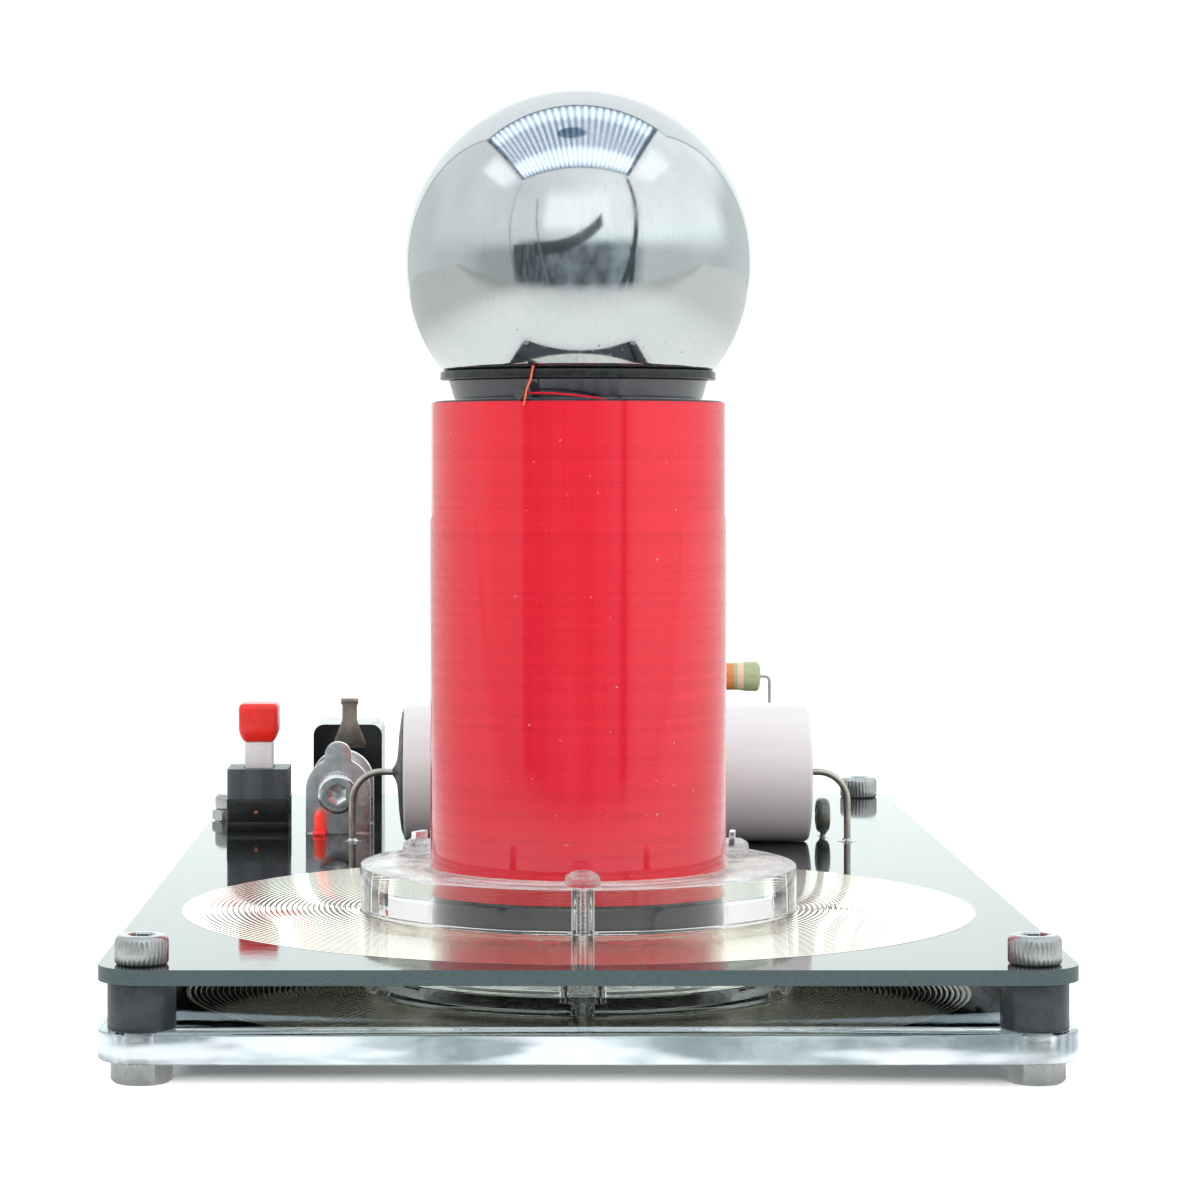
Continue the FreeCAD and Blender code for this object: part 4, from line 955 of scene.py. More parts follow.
bm = bmesh.new()
polar(bm, ring_profile(15.1, 16.6, 12.0, 70.0, 0.12), (0, CY, 0), n=128, close=True)
piece("former_tube", bm, "former_black", replaces=["secondary_former"])

bm = bmesh.new()
prof = fillet([(0, 61.8), (15.05, 61.8), (15.05, 69.95), (14.3, 70.0), (14.95, 72.3), (14.8, 72.4), (0, 72.4)],
              [0, .2, .05, .2, .1, .05, 0], 3)
polar(bm, prof, (0, CY, 0), n=128)
piece("neck_sleeve", bm, ["neck_smoke"], replaces=["coil_top_plug"])

bm = bmesh.new()
prof = fillet([(0, 72.4), (15.72, 72.4), (15.8, 72.55), (15.8, 73.3), (15.68, 73.4), (0, 73.4)], [0, .05, .1, .1, .05, 0], 2)


def disc_row(r, h):
    if r == 0:
        return (0, h)
    return lambda a: (r + 0.035 * math.sin(9 * a + 1) * math.sin(23 * a) * (r > 15), h)


polar(bm, [disc_row(r, h) for r, h in prof], (0, CY, 0), n=180)
piece("top_disc_cut", bm, "disc_black", replaces=["top_disc"])

bm = bmesh.new()
R, rise = 20.0, 12.66
a0 = -math.asin(rise / R)
rows = [(0, 73.42)]
rows += [(math.sqrt(R * R - rise * rise) - 0.5, 73.42), (math.sqrt(R * R - rise * rise) - 0.1, 73.47)]
for i in range(1, 110):
    t = a0 + (math.pi / 2 - a0) * i / 110
    rows.append((R * math.cos(t), 86.06 + R * math.sin(t)))
rows.append((0, 86.06 + R))
polar(bm, rows, (0, CY, 0), n=200)
rng = np.random.RandomState(11)
dents = [(rng.uniform(-1, 1), rng.uniform(-1, 0.2), rng.uniform(-0.75, 0.3), rng.uniform(0.5, 1.1), rng.uniform(0.004, 0.012))
         for _ in range(16)]
for v in bm.verts:
    if v.co.z > 73.6:
        d = Vector((v.co.x, v.co.y - CY, v.co.z - 86.06))
        u = d.normalized()
        k = 0.0
        for dx, dy, dz, w, h in dents:
            q = (u - Vector((dx, dy, dz)).normalized()).length * R / w
            if q < 3:
                k -= h * math.exp(-q * q)
        v.co += u * k
piece("discharge_ball_polished", bm, "ball_steel", replaces=["discharge_ball"], sharp=60)

bm = bmesh.new()
pts = []
for k in range(25):
    a = math.radians(-80 - 31.0 * k / 24)
    f = k / 24
    r = 16.35 - 0.2 * f
    pts.append((r * math.cos(a), CY + r * math.sin(a), 69.9 + 1.0 * f * (2 - f) * 0.8))
tube(bm, pts, 0.12, 8)
piece("last_turn", bm, "red_winding", sharp=60)
bm = bmesh.new()
bmesh.ops.create_icosphere(bm, subdivisions=4, radius=1.0)
for v in bm.verts:
    x, y, z = v.co
    k = 1 + 0.10 * math.sin(5 * x + 2) * math.sin(6 * z + 1) + 0.06 * math.sin(9 * y + 4 * z)
    v.co = Vector((-6.75 + 0.85 * x * k * (1.0 if z > 0 else 0.8), CY - 15.45 + 0.6 * y * k, 70.62 + 0.68 * z * k))
piece("lead_resin_drop", bm, "epoxy_grey", sharp=60)

# ------------------------------------------------------------------ tank capacitor
bm = bmesh.new()
x0, x1, cy, cz = -21.75, 32.3, 25.7, 21.30
prof = fillet([(0, x0 + 0.6), (8.72, x0 + 0.6), (8.75, x0 + 0.02), (9.0, x0), (9.25, x0 + 0.35), (9.25, (x0 + x1) / 2 - 0.01),
               (9.25, (x0 + x1) / 2), (9.25, x1 - 0.35), (9.0, x1), (8.75, x1 - 0.02), (8.72, x1 - 0.6), (0, x1 - 0.6)],
              [0, 0, .05, .12, .3, 0, 0, .3, .12, .05, 0, 0], 4)
polar(bm, prof, (0, cy, cz), axis="x", n=128)
# lap of the outer film layer along the body
lap = []
for i in range(15):
    a = math.radians(140 + i * 0.9)
    lap.append((9.27 - 0.0015 * i, a))
vs0 = [bm.verts.new((x0 + 0.6, cy + r * math.cos(a), cz + r * math.sin(a))) for r, a in lap]
vs1 = [bm.verts.new((x1 - 0.6, cy + r * math.cos(a), cz + r * math.sin(a))) for r, a in lap]
for i in range(len(lap) - 1):
    bm.faces.new((vs0[i], vs0[i + 1], vs1[i + 1], vs1[i]))
piece("tank_capacitor_wrap", bm, "film_white", replaces=["tank_capacitor_body"], recalc=False)
bm = bmesh.new()
for xe, s, k in ((x0, 1, 1.0), (x1, -1, 0.0)):
    rows = [(0, xe + s * 1.0), (8.7, xe + s * 1.0), (8.72, xe + s * 0.3), (8.5, xe + s * (0.2 - 0.32 * k)),
            (7.7, xe + s * (0.22 - 0.60 * k)), (5.6, xe + s * (0.26 - 0.92 * k)), (3.2, xe + s * (0.26 - 1.10 * k)),
            (1.8, xe + s * (0.2 - 1.18 * k)), (1.0, xe + s * (0.0 - 1.25 * k)), (0.62, xe - s * (0.3 + 1.2 * k)),
            (0.5, xe - s * (0.4 + 1.2 * k)), (0.3, xe - s * (0.3 + 1.2 * k)), (0, xe - s * (0.3 + 1.2 * k))]
    polar(bm, rows, (0, cy, cz), axis="x", n=96)
piece("tank_capacitor_fill", bm, "epoxy_grey", replaces=["tank_capacitor_ends"])

# ------------------------------------------------------------------ small disc capacitor, on edge to the viewer
bm = bmesh.new()
DX, DY, DZ = 34.95, 31.5, TOP + 2.87
rows = [(0, DX - 0.95), (1.4, DX - 0.94), (1.9, DX - 0.86), (2.2, DX - 0.66), (2.36, DX - 0.36), (2.4, DX)]
rows += [(r, 2 * DX - h) for r, h in rows[-2::-1]]
polar(bm, rows, (0, DY, DZ), axis="x", n=64)
for dy in (-1.2, 1.2):  # lacquer run down onto the leads
    polar(bm, [(0, TOP + 1.6), (0.62, TOP + 1.3), (0.5, TOP + 0.8), (0.36, TOP + 0.5), (0.27, TOP + 0.36), (0, TOP + 0.36)],
          (DX, DY + dy, 0), n=20)
piece("disc_capacitor_dipped", bm, "lacquer_dark", replaces=["disc_capacitor"])

# ------------------------------------------------------------------ push switch
SX, SY = -42.4, 42.3
bm = bmesh.new()
slab(bm, rrect(8.5, 8.5, 0.35, SX, SY, 4), [rrect(6.5, 6.5, 0.4, SX, SY, 4)], TOP + 1.2, TOP + 4.3, 0.08, 2)
slab(bm, rrect(8.5, 8.5, 0.35, SX, SY, 4), [], TOP, TOP + 1.2, 0.08, 2)
piece("switch_base_moulded", bm, "switch_black", replaces=["switch_housing"])

bm = bmesh.new()
w = 8.4
slab(bm, rrect(w, w, 0.5, SX, SY, 5), [rrect(6.5, 6.5, 0.3, SX, SY, 4)], TOP + 4.32, TOP + 8.1, 0.05, 1)
slab(bm, rrect(w, w, 0.5, SX, SY, 5), [rrect(4.2, 4.2, 0.3, SX, SY, 4)], TOP + 8.09, TOP + 8.5, 0.18, 3)
for sx in (-1, 1):  # tongues that hold the cover on the base, on its sides
    rbox(bm, (SX + sx * 4.25 - 0.12, SY - 1.2, TOP + 1.8), (SX + sx * 4.25 + 0.12, SY + 1.2, TOP + 4.6), 0.05, 1)
piece("switch_cover_pressed", bm, "switch_grey", replaces=["switch_frame"])
bm = bmesh.new()
polar(bm, [(0, SY - 4.42), (0.2, SY - 4.42), (0.3, SY - 4.34), (0.34, SY - 4.2)], (SX - 0.18, 0, TOP + 2.48), axis="y", n=20)
piece("switch_rivet", bm, "copper_wire")

bm = bmesh.new()
rbox(bm, (SX - 1.9, SY - 1.9, TOP + 6.9), (SX + 1.9, SY + 1.9, TOP + 12.1), 0.18, 3)
rbox(bm, (SX - 2.95, SY - 2.95, TOP + 6.9), (SX + 2.95, SY + 2.95, TOP + 7.8), 0.12, 2)
polar(bm, [(0, TOP + 4.2), (1.2, TOP + 4.2), (1.4, TOP + 4.4), (1.4, TOP + 7.0), (0, TOP + 7.0)], (SX, SY, 0), n=32)
rbox(bm, (SX - 1.2, SY - 1.2, TOP + 12.0), (SX + 1.2, SY + 1.2, TOP + 14.5), 0.1, 2)
for sx in (-1, 1):
    rbox(bm, (SX + sx * 1.9 - 0.08, SY - 0.45, TOP + 8.0), (SX + sx * 1.9 + 0.08, SY + 0.45, TOP + 12.0), 0.05, 1)
piece("switch_stem_moulded", bm, "stem_white", body="switch_button", replaces=["switch_plunger"])

bm = bmesh.new()
cap_rows = []
z0, z1 = TOP + 12.12, TOP + 17.4


def rr_row(half, rad, z, n=7):
    return [(SX + p[0], SY + p[1], z) for p in rrect(half * 2, half * 2, rad, 0, 0, n)]


levels = [(1.62, 0.3, z0), (2.0, 0.45, z0 + 0.03), (2.2, 0.6, z0 + 0.22), (2.48, 0.65, z0 + 0.75), (2.66, 0.6, z0 + 1.35),
          (2.70, 0.5, z0 + 1.9), (2.70, 0.5, z1 - 0.75), (2.64, 0.5, z1 - 0.32), (2.46, 0.5, z1 - 0.09), (2.2, 0.45, z1),
          (1.9, 0.4, z1 - 0.02), (1.2, 0.3, z1 - 0.07)]
prev = None
for half, rad, z in levels:
    row = [bm.verts.new(p) for p in rr_row(half, rad, z)]
    if prev:
        for i in range(len(row)):
            j = (i + 1) % len(row)
            bm.faces.new((prev[i], prev[j], row[j], row[i]))
    else:
        bm.faces.new(row[::-1])
    prev = row
bm.faces.new(prev)
piece("switch_cap_moulded", bm, "cap_red", body="switch_button", replaces=["switch_cap"])

bm = bmesh.new()
pts, zz = [], TOP + 1.22
for i in range(7 * 24 + 1):
    a = PI2 * i / 24
    pts.append((SX + 2.2 * math.cos(a), SY + 2.2 * math.sin(a), zz + 0.2 + 5.25 * i / (7 * 24)))
tube(bm, pts, 0.19, 8)
spring = piece("switch_spring_wound", bm, "spring_steel", replaces=["switch_spring"])
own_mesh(spring)

# ------------------------------------------------------------------ power inlet metal
bm = bmesh.new()
iy = 90 - 13.8
# tongue: a strip that flares down the block's face
prof = [(-32.6, 27.62), (-29.98, 27.62), (-30.0, 26.85), (-30.2, 26.6), (-30.2, 24.4), (-29.5, 22.6), (-28.9, 21.0),
        (-28.9, 20.2), (-33.7, 20.2), (-33.7, 21.0), (-33.1, 22.6), (-32.4, 24.4), (-32.4, 26.6), (-32.62, 26.85)]
slab(bm, prof, [], iy - 0.42, iy - 0.02, 0.08, 2, axis="y")
rbox(bm, (-32.55, iy - 0.5, 26.85), (-30.05, iy + 0.42, 27.6), 0.15, 2)
piece("inlet_tongue", bm, "tongue_metal", replaces=["power_inlet_terminals"])
bm = bmesh.new()
rx, rz = -30.1, 17.8
polar(bm, [(0, iy - 0.36), (0.55, iy - 0.36), (0.92, iy - 0.22), (1.05, iy + 0.01)], (rx, 0, rz), axis="y", n=32)
for tx, ty in ((-31.6, iy + 2.5), (-31.6, iy + 8.5), (-35.6, iy + 5.5)):
    rbox(bm, (tx - 0.48, ty - 0.18, LOW - 1.3), (tx + 0.48, ty + 0.18, TOP + 0.4), 0.08, 2)
piece("inlet_rivet_and_tabs", bm, "tinned_wire")

# ------------------------------------------------------------------ spark gap
GX, GZ, GY = -31.1, TOP + 5.7, 34.2


def plate_outline(tall):
    pts = [(GX - 4.4, TOP + 0.02), (GX + 4.4, TOP + 0.02)]
    z = TOP + 6.0
    for k in range(0, 13):
        a = math.radians(k * 65 / 12 if tall else k * 90 / 12)
        pts.append((GX + 4.4 * math.cos(a), z + 4.4 * math.sin(a)))
    if tall:
        zt = TOP + 10.8
        for k in range(0, 17):
            a = math.radians(180 * k / 16)
            pts.append((GX + 1.8 * math.cos(a), zt + 1.8 * math.sin(a)))
        for k in range(12, -1, -1):
            a = math.radians(180 - k * 65 / 12)
            pts.append((GX + 4.4 * math.cos(a), z + 4.4 * math.sin(a)))
    else:
        for k in range(11, -1, -1):
            a = math.radians(180 - k * 90 / 12)
            pts.append((GX + 4.4 * math.cos(a), z + 4.4 * math.sin(a)))
    return pts


for name, node, y, tall, bore in (("gap_plate_front", "gap_bracket_front", GY, True, 1.52),
                                  ("gap_plate_rear", "gap_bracket_rear", GY + 14.0 - 0.6, False, 1.56)):
    bm = bmesh.new()
    slab(bm, plate_outline(tall), [circle(GX, GZ, bore, 40)], y, y + 1.2, 0.14, 3, axis="y")
    for lx in (-3.3, 3.3):
        polar(bm, [(0, LOW - 1.3), (0.42, LOW - 1.3), (0.55, LOW - 1.15), (0.55, TOP + 0.6), (0, TOP + 0.6)],
              (GX + lx, y + 0.6, 0), n=24)
    piece(name, bm, "bracket_steel", replaces=[node])

tip1, tip2 = GY + 7 - 1.1, GY + 7 + 1.1
bm = bmesh.new()
socket_head(bm, 2.75, GY, GY - 3.0, 2.5, 1.5, (GX, 0, GZ), axis="y", knurl=30)
screw_skin(bm, 1.5, 0.15, 0.5, GY - 0.05, tip1 - 3.9, (GX, 0, GZ), axis="y", n=28,
           profile=((0, 0), (0.22, 0.15), (0.5, 1), (0.78, 0.15)))
rows = [(0, tip1 - 4.0), (2.0, tip1 - 4.0), (2.2, tip1 - 3.8), (2.2, tip1 - 2.2)]
rows += [(2.2 * math.cos(math.radians(k * 7.5)), tip1 - 2.2 + 2.2 * math.sin(math.radians(k * 7.5))) for k in range(1, 12)]
rows.append((0, tip1))
polar(bm, rows, (GX, 0, GZ), axis="y", n=48)
piece("gap_screw_fixed", bm, "electrode_chrome", replaces=["gap_fixed_electrode"], weld=False)

yr = GY + 14.0
bm = bmesh.new()
socket_head(bm, 2.75, yr + 6.5, yr + 9.5, 2.5, 1.5, (GX, 0, GZ), axis="y", knurl=30)
screw_skin(bm, 1.5, 0.15, 0.5, tip2 + 3.9, yr + 6.55, (GX, 0, GZ), axis="y", n=28,
           profile=((0, 0), (0.22, 0.15), (0.5, 1), (0.78, 0.15)))
rows = [(0, tip2)]
rows += [(2.2 * math.cos(math.radians(k * 7.5)), tip2 + 2.2 - 2.2 * math.sin(math.radians(k * 7.5))) for k in range(11, 0, -1)]
rows += [(2.2, tip2 + 2.2), (2.2, tip2 + 3.8), (2.0, tip2 + 4.0), (0, tip2 + 4.0)]
polar(bm, rows, (GX, 0, GZ), axis="y", n=48)
piece("gap_screw_adjust", bm, "electrode_chrome", body="gap_screw",
      replaces=["gap_adjust_electrode"], weld=False)
bm = bmesh.new()
hex_nut(bm, 5.5, 1.55, yr + 0.61, yr + 2.41, (GX, 0, GZ), axis="y")
piece("gap_nut_turned", bm, "bracket_steel", replaces=["gap_lock_nut"])

# ------------------------------------------------------------------ indicator light
bm = bmesh.new()
LX, LY = -33.6, 33.0
rows = [(0, TOP + 0.1), (0.85, TOP + 0.1), (0.92, TOP + 0.18), (0.92, TOP + 0.42), (0.85, TOP + 0.5), (0.75, TOP + 0.55),
        (0.73, TOP + 2.65)]
rows += [(0.73 * math.cos(math.radians(k * 9)), TOP + 2.65 + 0.73 * math.sin(math.radians(k * 9))) for k in range(1, 10)]
rows.append((0, TOP + 3.38))
polar(bm, rows, (LX, LY, 0), n=48)
piece("indicator_lens", bm, "led_red", replaces=["indicator_led"])


# ------------------------------------------------------------------ axial parts
def bone(bm, x0, x1, y, z, r, end, mat=0, n=48, waist=0.12, full=1.0):
    """Lacquered axial body: two rounded ends and a slimmer waist."""
    rows = [(0, x0), (r * 0.45, x0 + 0.02), (r * 0.8, x0 + 0.12 * r * full), (r * 0.97, x0 + 0.4 * r * full), (r, x0 + 0.8 * r * full),
            (r, x0 + end * 0.75), (r - waist * 0.5, x0 + end), (r - waist, x0 + end * 1.25)]
    rows += [(a, x0 + x1 - b) for a, b in rows[::-1]]
    polar(bm, rows, (0, y, z), axis="x", n=n, mat=mat)


bm = bmesh.new()
bone(bm, 15.5, 27.5, 45.0, TOP + 20.9, 2.08, 2.6, waist=0.16, full=0.45)
piece("rf_choke_lacquered", bm, "choke_green", replaces=["rf_choke"])
bm = bmesh.new()
for xa, xb in ((15.8, 14.2), (27.2, 28.8)):
    tube(bm, smooth_path([(xa, 45.0, TOP + 20.9), (xb, 45.0, TOP + 20.9), (xb, 45.0, LOW - 1.0)], 0.95, 8), 0.2, 12)
piece("rf_choke_wires", bm, "tinned_wire", replaces=["rf_choke_leads"])
bm = bmesh.new()
for i, (x, y) in enumerate(((-16.0, 50.0), (24.0, 74.0))):
    bone(bm, x - 3.2, x + 3.2, y, TOP + 1.4, 1.2, 1.6, mat=i, waist=0.14)
piece("resistors_lacquered", bm, ["resistor_a", "resistor_b"], replaces=["resistors"])
bm = bmesh.new()
polar(bm, fillet([(0, 4.5), (1.36, 4.5), (1.5, 4.7), (1.5, 11.3), (1.36, 11.5), (0, 11.5)], [0, .1, .1, .1, .1, 0], 3),
      (0, 78.0, TOP + 1.7), axis="x", n=48)
piece("hv_diode_moulded", bm, "diode_black", replaces=["hv_diode"])

# ------------------------------------------------------------------ step-up transformer
TX, TY = -6.0, 62.0
bm = bmesh.new()
win = [[(TX + s * 4.95 - 2.45, TOP + 4.8), (TX + s * 4.95 + 2.45, TOP + 4.8), (TX + s * 4.95 + 2.45, TOP + 13.6),
        (TX + s * 4.95 - 2.45, TOP + 13.6)] for s in (-1, 1)]
out = [(TX - 10, TOP + 2.2), (TX + 10, TOP + 2.2), (TX + 10, TOP + 16.2), (TX - 10, TOP + 16.2)]
slab(bm, out, win, TY - 2.6, TY + 2.6, 0.25, 3, axis="y")
core = piece("ferrite_core", bm, "ferrite", replaces=["transformer_core"])
bm = bmesh.new()
for sx in (-1, 1):  # the joint between the two halves
    for s2 in (-1, 1):
        rbox(bm, (TX + sx * 8.7 - 1.4, TY + s2 * 2.6 - 0.06, TOP + 9.16), (TX + sx * 8.7 + 1.4, TY + s2 * 2.6 + 0.06, TOP + 9.24), 0, 0)
    rbox(bm, (TX + sx * 10.0 - 0.06, TY - 2.6, TOP + 9.16), (TX + sx * 10.0 + 0.06, TY + 2.6, TOP + 9.24), 0, 0)
carve(core, bm)

bm = bmesh.new()
for z in (TOP + 4.85, TOP + 12.6):
    slab(bm, rrect(14.4, 15.0, 0.8, TX, TY, 5), [rrect(5.1, 5.3, 0.1, TX, TY, 2)], z, z + 0.9, 0.12, 2)
slab(bm, rrect(7.0, 7.4, 0.4, TX, TY, 3), [rrect(5.1, 5.3, 0.1, TX, TY, 2)], TOP + 5.7, TOP + 12.65, 0, 0)
for s in (-1, 1):
    rbox(bm, (TX - 9.5, TY + s * 5.9 - 1.8, TOP + 1.7), (TX + 9.5, TY + s * 5.9 + 1.8, TOP + 4.9), 0.25, 3)
    for px in (-7.5, -2.5, 2.5, 7.5):  # collars where the wire ends wrap the pins
        polar(bm, [(0, TOP + 1.2), (0.7, TOP + 1.2), (0.8, TOP + 1.35), (0.8, TOP + 1.75)], (TX + px, TY + s * 5.9, 0), n=20)
piece("bobbin_moulded", bm, "bobbin_black", replaces=["transformer_bobbin"])

bm = bmesh.new()
zs = [5.80, 5.95, 6.4, 7.9, 9.2, 10.6, 12.1, 12.45, 12.56]
grow = [-0.35, -0.08, 0.0, 0.06, 0.08, 0.06, 0.0, -0.08, -0.35]
prev = None
for k, (z, gr) in enumerate(zip(zs, grow)):
    w_, d_ = 13.9 + 2 * gr, 14.3 + 2 * gr
    row = [bm.verts.new((px, py, TOP + z)) for px, py in rrect(w_, d_, 2.6, TX, TY, 10)]
    if prev:
        for i in range(len(row)):
            j = (i + 1) % len(row)
            bm.faces.new((prev[i], prev[j], row[j], row[i]))
    prev = row
# loose end of the tape
slab(bm, [(TX - 2.6, TOP + 6.0), (TX + 1.2, TOP + 6.0), (TX + 1.4, TOP + 9.2), (TX + 1.1, TOP + 12.3), (TX - 2.6, TOP + 12.3)],
     [], TY - 7.29, TY - 7.22, 0.02, 1, axis="y")
piece("transformer_taped", bm, "tape_yellow", replaces=["transformer_winding"])
bm = bmesh.new()
for s, pxs in ((-1, (-7.5, -2.5, 2.5, 7.5)), (1, (-7.5, 7.5))):
    for px in pxs:
        x, y = TX + px, TY + s * 5.9
        path = smooth_path([(TX + px * 0.45, TY + s * 6.9, TOP + 5.9), (TX + px * 0.6, TY + s * 7.75, TOP + 5.1),
                            (x, TY + s * 7.95, TOP + 3.4), (x, TY + s * 7.8, TOP + 1.6), (x, TY + s * 6.4, TOP + 0.9)], 0.7, 5)
        tube(bm, path, 0.13, 8)
        loops = [(x + 0.48 * math.cos(PI2 * k / 12), y + 0.48 * math.sin(PI2 * k / 12), TOP + 0.55 + 0.24 * k / 12) for k in range(31)]
        tube(bm, loops, 0.12, 6)
piece("transformer_wire_ends", bm, "copper_wire")

# ------------------------------------------------------------------ transistor and heat sink
QX, QY = 15.0, 60.0
bm = bmesh.new()
rbox(bm, (QX - 5.0, QY - 2.2, TOP + 3.2), (QX + 5.0, QY + 2.2, TOP + 12.2), 0.3, 3)
q = piece("transistor_moulded", bm, "case_black", replaces=["transistor_case"])
bm = bmesh.new()
polar(bm, [(0, QY - 2.6), (0.8, QY - 2.6), (0.8, QY - 2.08), (0, QY - 2.08)], (QX - 3.0, 0, TOP + 10.2), axis="y", n=24)
rbox(bm, (QX - 5.4, QY - 2.8, TOP + 11.4), (QX + 5.4, QY - 1.85, TOP + 12.6), 0.1, 1)
carve(q, bm)
bm = bmesh.new()
slab(bm, [(QX - 5, TOP + 3.2), (QX + 5, TOP + 3.2), (QX + 5, TOP + 13.2), (QX + 4.5, TOP + 13.5), (QX + 4.5, TOP + 14.4),
          (QX + 5, TOP + 14.7), (QX + 5, TOP + 18.0), (QX + 4.6, TOP + 18.4), (QX - 4.6, TOP + 18.4), (QX - 5, TOP + 18.0),
          (QX - 5, TOP + 14.7), (QX - 4.5, TOP + 14.4), (QX - 4.5, TOP + 13.5), (QX - 5, TOP + 13.2)],
     [circle(QX, TOP + 15.4, 1.8, 40)], QY + 2.2, QY + 3.4, 0.08, 2, axis="y")
piece("transistor_tab_pressed", bm, "tab_tin", replaces=["transistor_tab"])

bm = bmesh.new()
y0 = QY + 3.41
pts = [(QX - 7.5, y0), (QX + 7.5, y0)]
fx = [6.9, 3.45, 0.0, -3.45, -6.9]
pts.append((QX + 7.5, y0 + 1.6 + 0.0))
for i, f in enumerate(fx):
    r_, l_ = QX + f + 0.55, QX + f - 0.55
    if i:
        pts.append((r_, y0 + 1.6))
    else:
        pts.append((r_, y0 + 1.75))
    top_y = QY + 12.45
    pts += [(r_, top_y - 0.35), (r_ - 0.2, top_y - 0.08), (QX + f, top_y), (l_ + 0.2, top_y - 0.08), (l_, top_y - 0.35)]
    pts.append((l_, y0 + 1.6 if i < 4 else y0 + 1.75))
pts.append((QX - 7.5, y0 + 1.6))
slab(bm, pts, [], TOP + 1.5, TOP + 19.5, 0.12, 2)
for px in (-5.2, 5.2):
    polar(bm, [(0, LOW - 1.0), (0.55, LOW - 1.0), (0.7, LOW - 0.85), (0.7, TOP + 1.6), (0, TOP + 1.6)],
          (QX + px, QY + 4.21, 0), n=24)
sink = piece("heat_sink_finned", bm, "sink_black", replaces=["heat_sink"])
bm = bmesh.new()
polar(bm, [(0, QY + 5.02), (3.3, QY + 5.02), (3.3, QY + 14), (0, QY + 14)], (QX, 0, TOP + 15.4), axis="y", n=48)
carve(sink, bm)

bm = bmesh.new()
dome = fillet([(0, QY + 0.19), (1.6, QY + 0.25), (2.5, QY + 0.75), (2.75, QY + 1.5), (2.7, QY + 2.19), (1.5, QY + 2.19), (1.5, QY + 4.0)],
              [0, .6, .6, .3, .1, .1, 0], 3)
polar(bm, dome, (QX, 0, TOP + 15.4), axis="y", n=48)
screw_skin(bm, 1.5, 0.15, 0.5, QY + 3.9, QY + 8.2, (QX, 0, TOP + 15.4), axis="y", n=28,
           profile=((0, 0), (0.22, 0.15), (0.5, 1), (0.78, 0.15)))
hs_screw = piece("heat_sink_screw_turned", bm, "steel_bolt", replaces=["heat_sink_screw"], weld=False)
bm = bmesh.new()
rbox(bm, (QX - 0.4, QY - 0.5, TOP + 11.9), (QX + 0.4, QY + 1.1, TOP + 18.9), 0, 0)
carve(hs_screw, bm)
bm = bmesh.new()
hex_nut(bm, 5.5, 1.52, QY + 5.03, QY + 7.43, (QX, 0, TOP + 15.4), axis="y")
piece("heat_sink_nut_turned", bm, "steel_bolt", replaces=["heat_sink_nut"])

# ------------------------------------------------------------------ smoothing capacitor
bm = bmesh.new()
EX, EY = 30.5, 62.0
prof = fillet([(0, 12.3), (3.4, 12.3), (3.75, 12.45), (3.98, 12.9), (4.0, 13.6), (3.72, 14.2), (3.72, 14.35), (4.0, 14.95),
               (4.0, 23.35), (3.8, 23.75), (3.4, 23.8), (3.3, 23.62), (0, 23.60)],
              [0, .1, .2, .2, .3, .15, .15, .3, .25, .2, .1, .05, 0], 3)
polar(bm, prof, (EX, EY, 0), n=72)
can = piece("smoothing_can", bm, "can_blue", replaces=["smoothing_capacitor"])
for t in (0.4, 0.4 + PI2 / 3, 0.4 + 2 * PI2 / 3):
    bm = bmesh.new()
    faces = rbox(bm, (0.3, -0.09, 23.52), (2.5, 0.09, 24.2), 0, 0)
    bmesh.ops.rotate(bm, verts=bm.verts, cent=(0, 0, 0), matrix=Matrix.Rotation(t, 3, "Z"))
    bmesh.ops.translate(bm, verts=bm.verts, vec=(EX, EY, 0))
    carve(can, bm)

# ------------------------------------------------------------------ ground terminal
PX, PY = -46.6, 52.0
bm = bmesh.new()
hex_nut(bm, 5.5, 1.52, TOP + 0.02, TOP + 1.67, (PX, PY, 0))
piece("ground_nut_turned", bm, "steel_bolt", replaces=["ground_terminal_nut"])
bm = bmesh.new()
hex_nut(bm, 5.5, 1.52, LOW - 2.32, LOW - 0.02, (PX, PY, 0))
piece("ground_lock_nut_turned", bm, "steel_bolt", replaces=["ground_terminal_lock_nut"])
bm = bmesh.new()
head = fillet([(0, TOP + 1.7), (2.55, TOP + 1.7), (2.75, TOP + 1.9), (2.75, TOP + 3.3), (2.3, TOP + 3.8), (0, TOP + 3.9)],
              [0, .1, .1, .4, .5, 0], 4)
polar(bm, head, (PX, PY, 0), n=48)
screw_skin(bm, 1.5, 0.15, 0.5, LOW - 3.4, TOP + 1.75, (PX, PY, 0), n=28, profile=((0, 0), (0.22, 0.15), (0.5, 1), (0.78, 0.15)))
gs = piece("ground_screw_turned", bm, "steel_bolt", replaces=["ground_terminal_screw"], weld=False)
bm = bmesh.new()
rbox(bm, (PX - 0.4, PY - 3.5, TOP + 3.0), (PX + 0.4, PY + 3.5, TOP + 4.6), 0, 0)
carve(gs, bm)


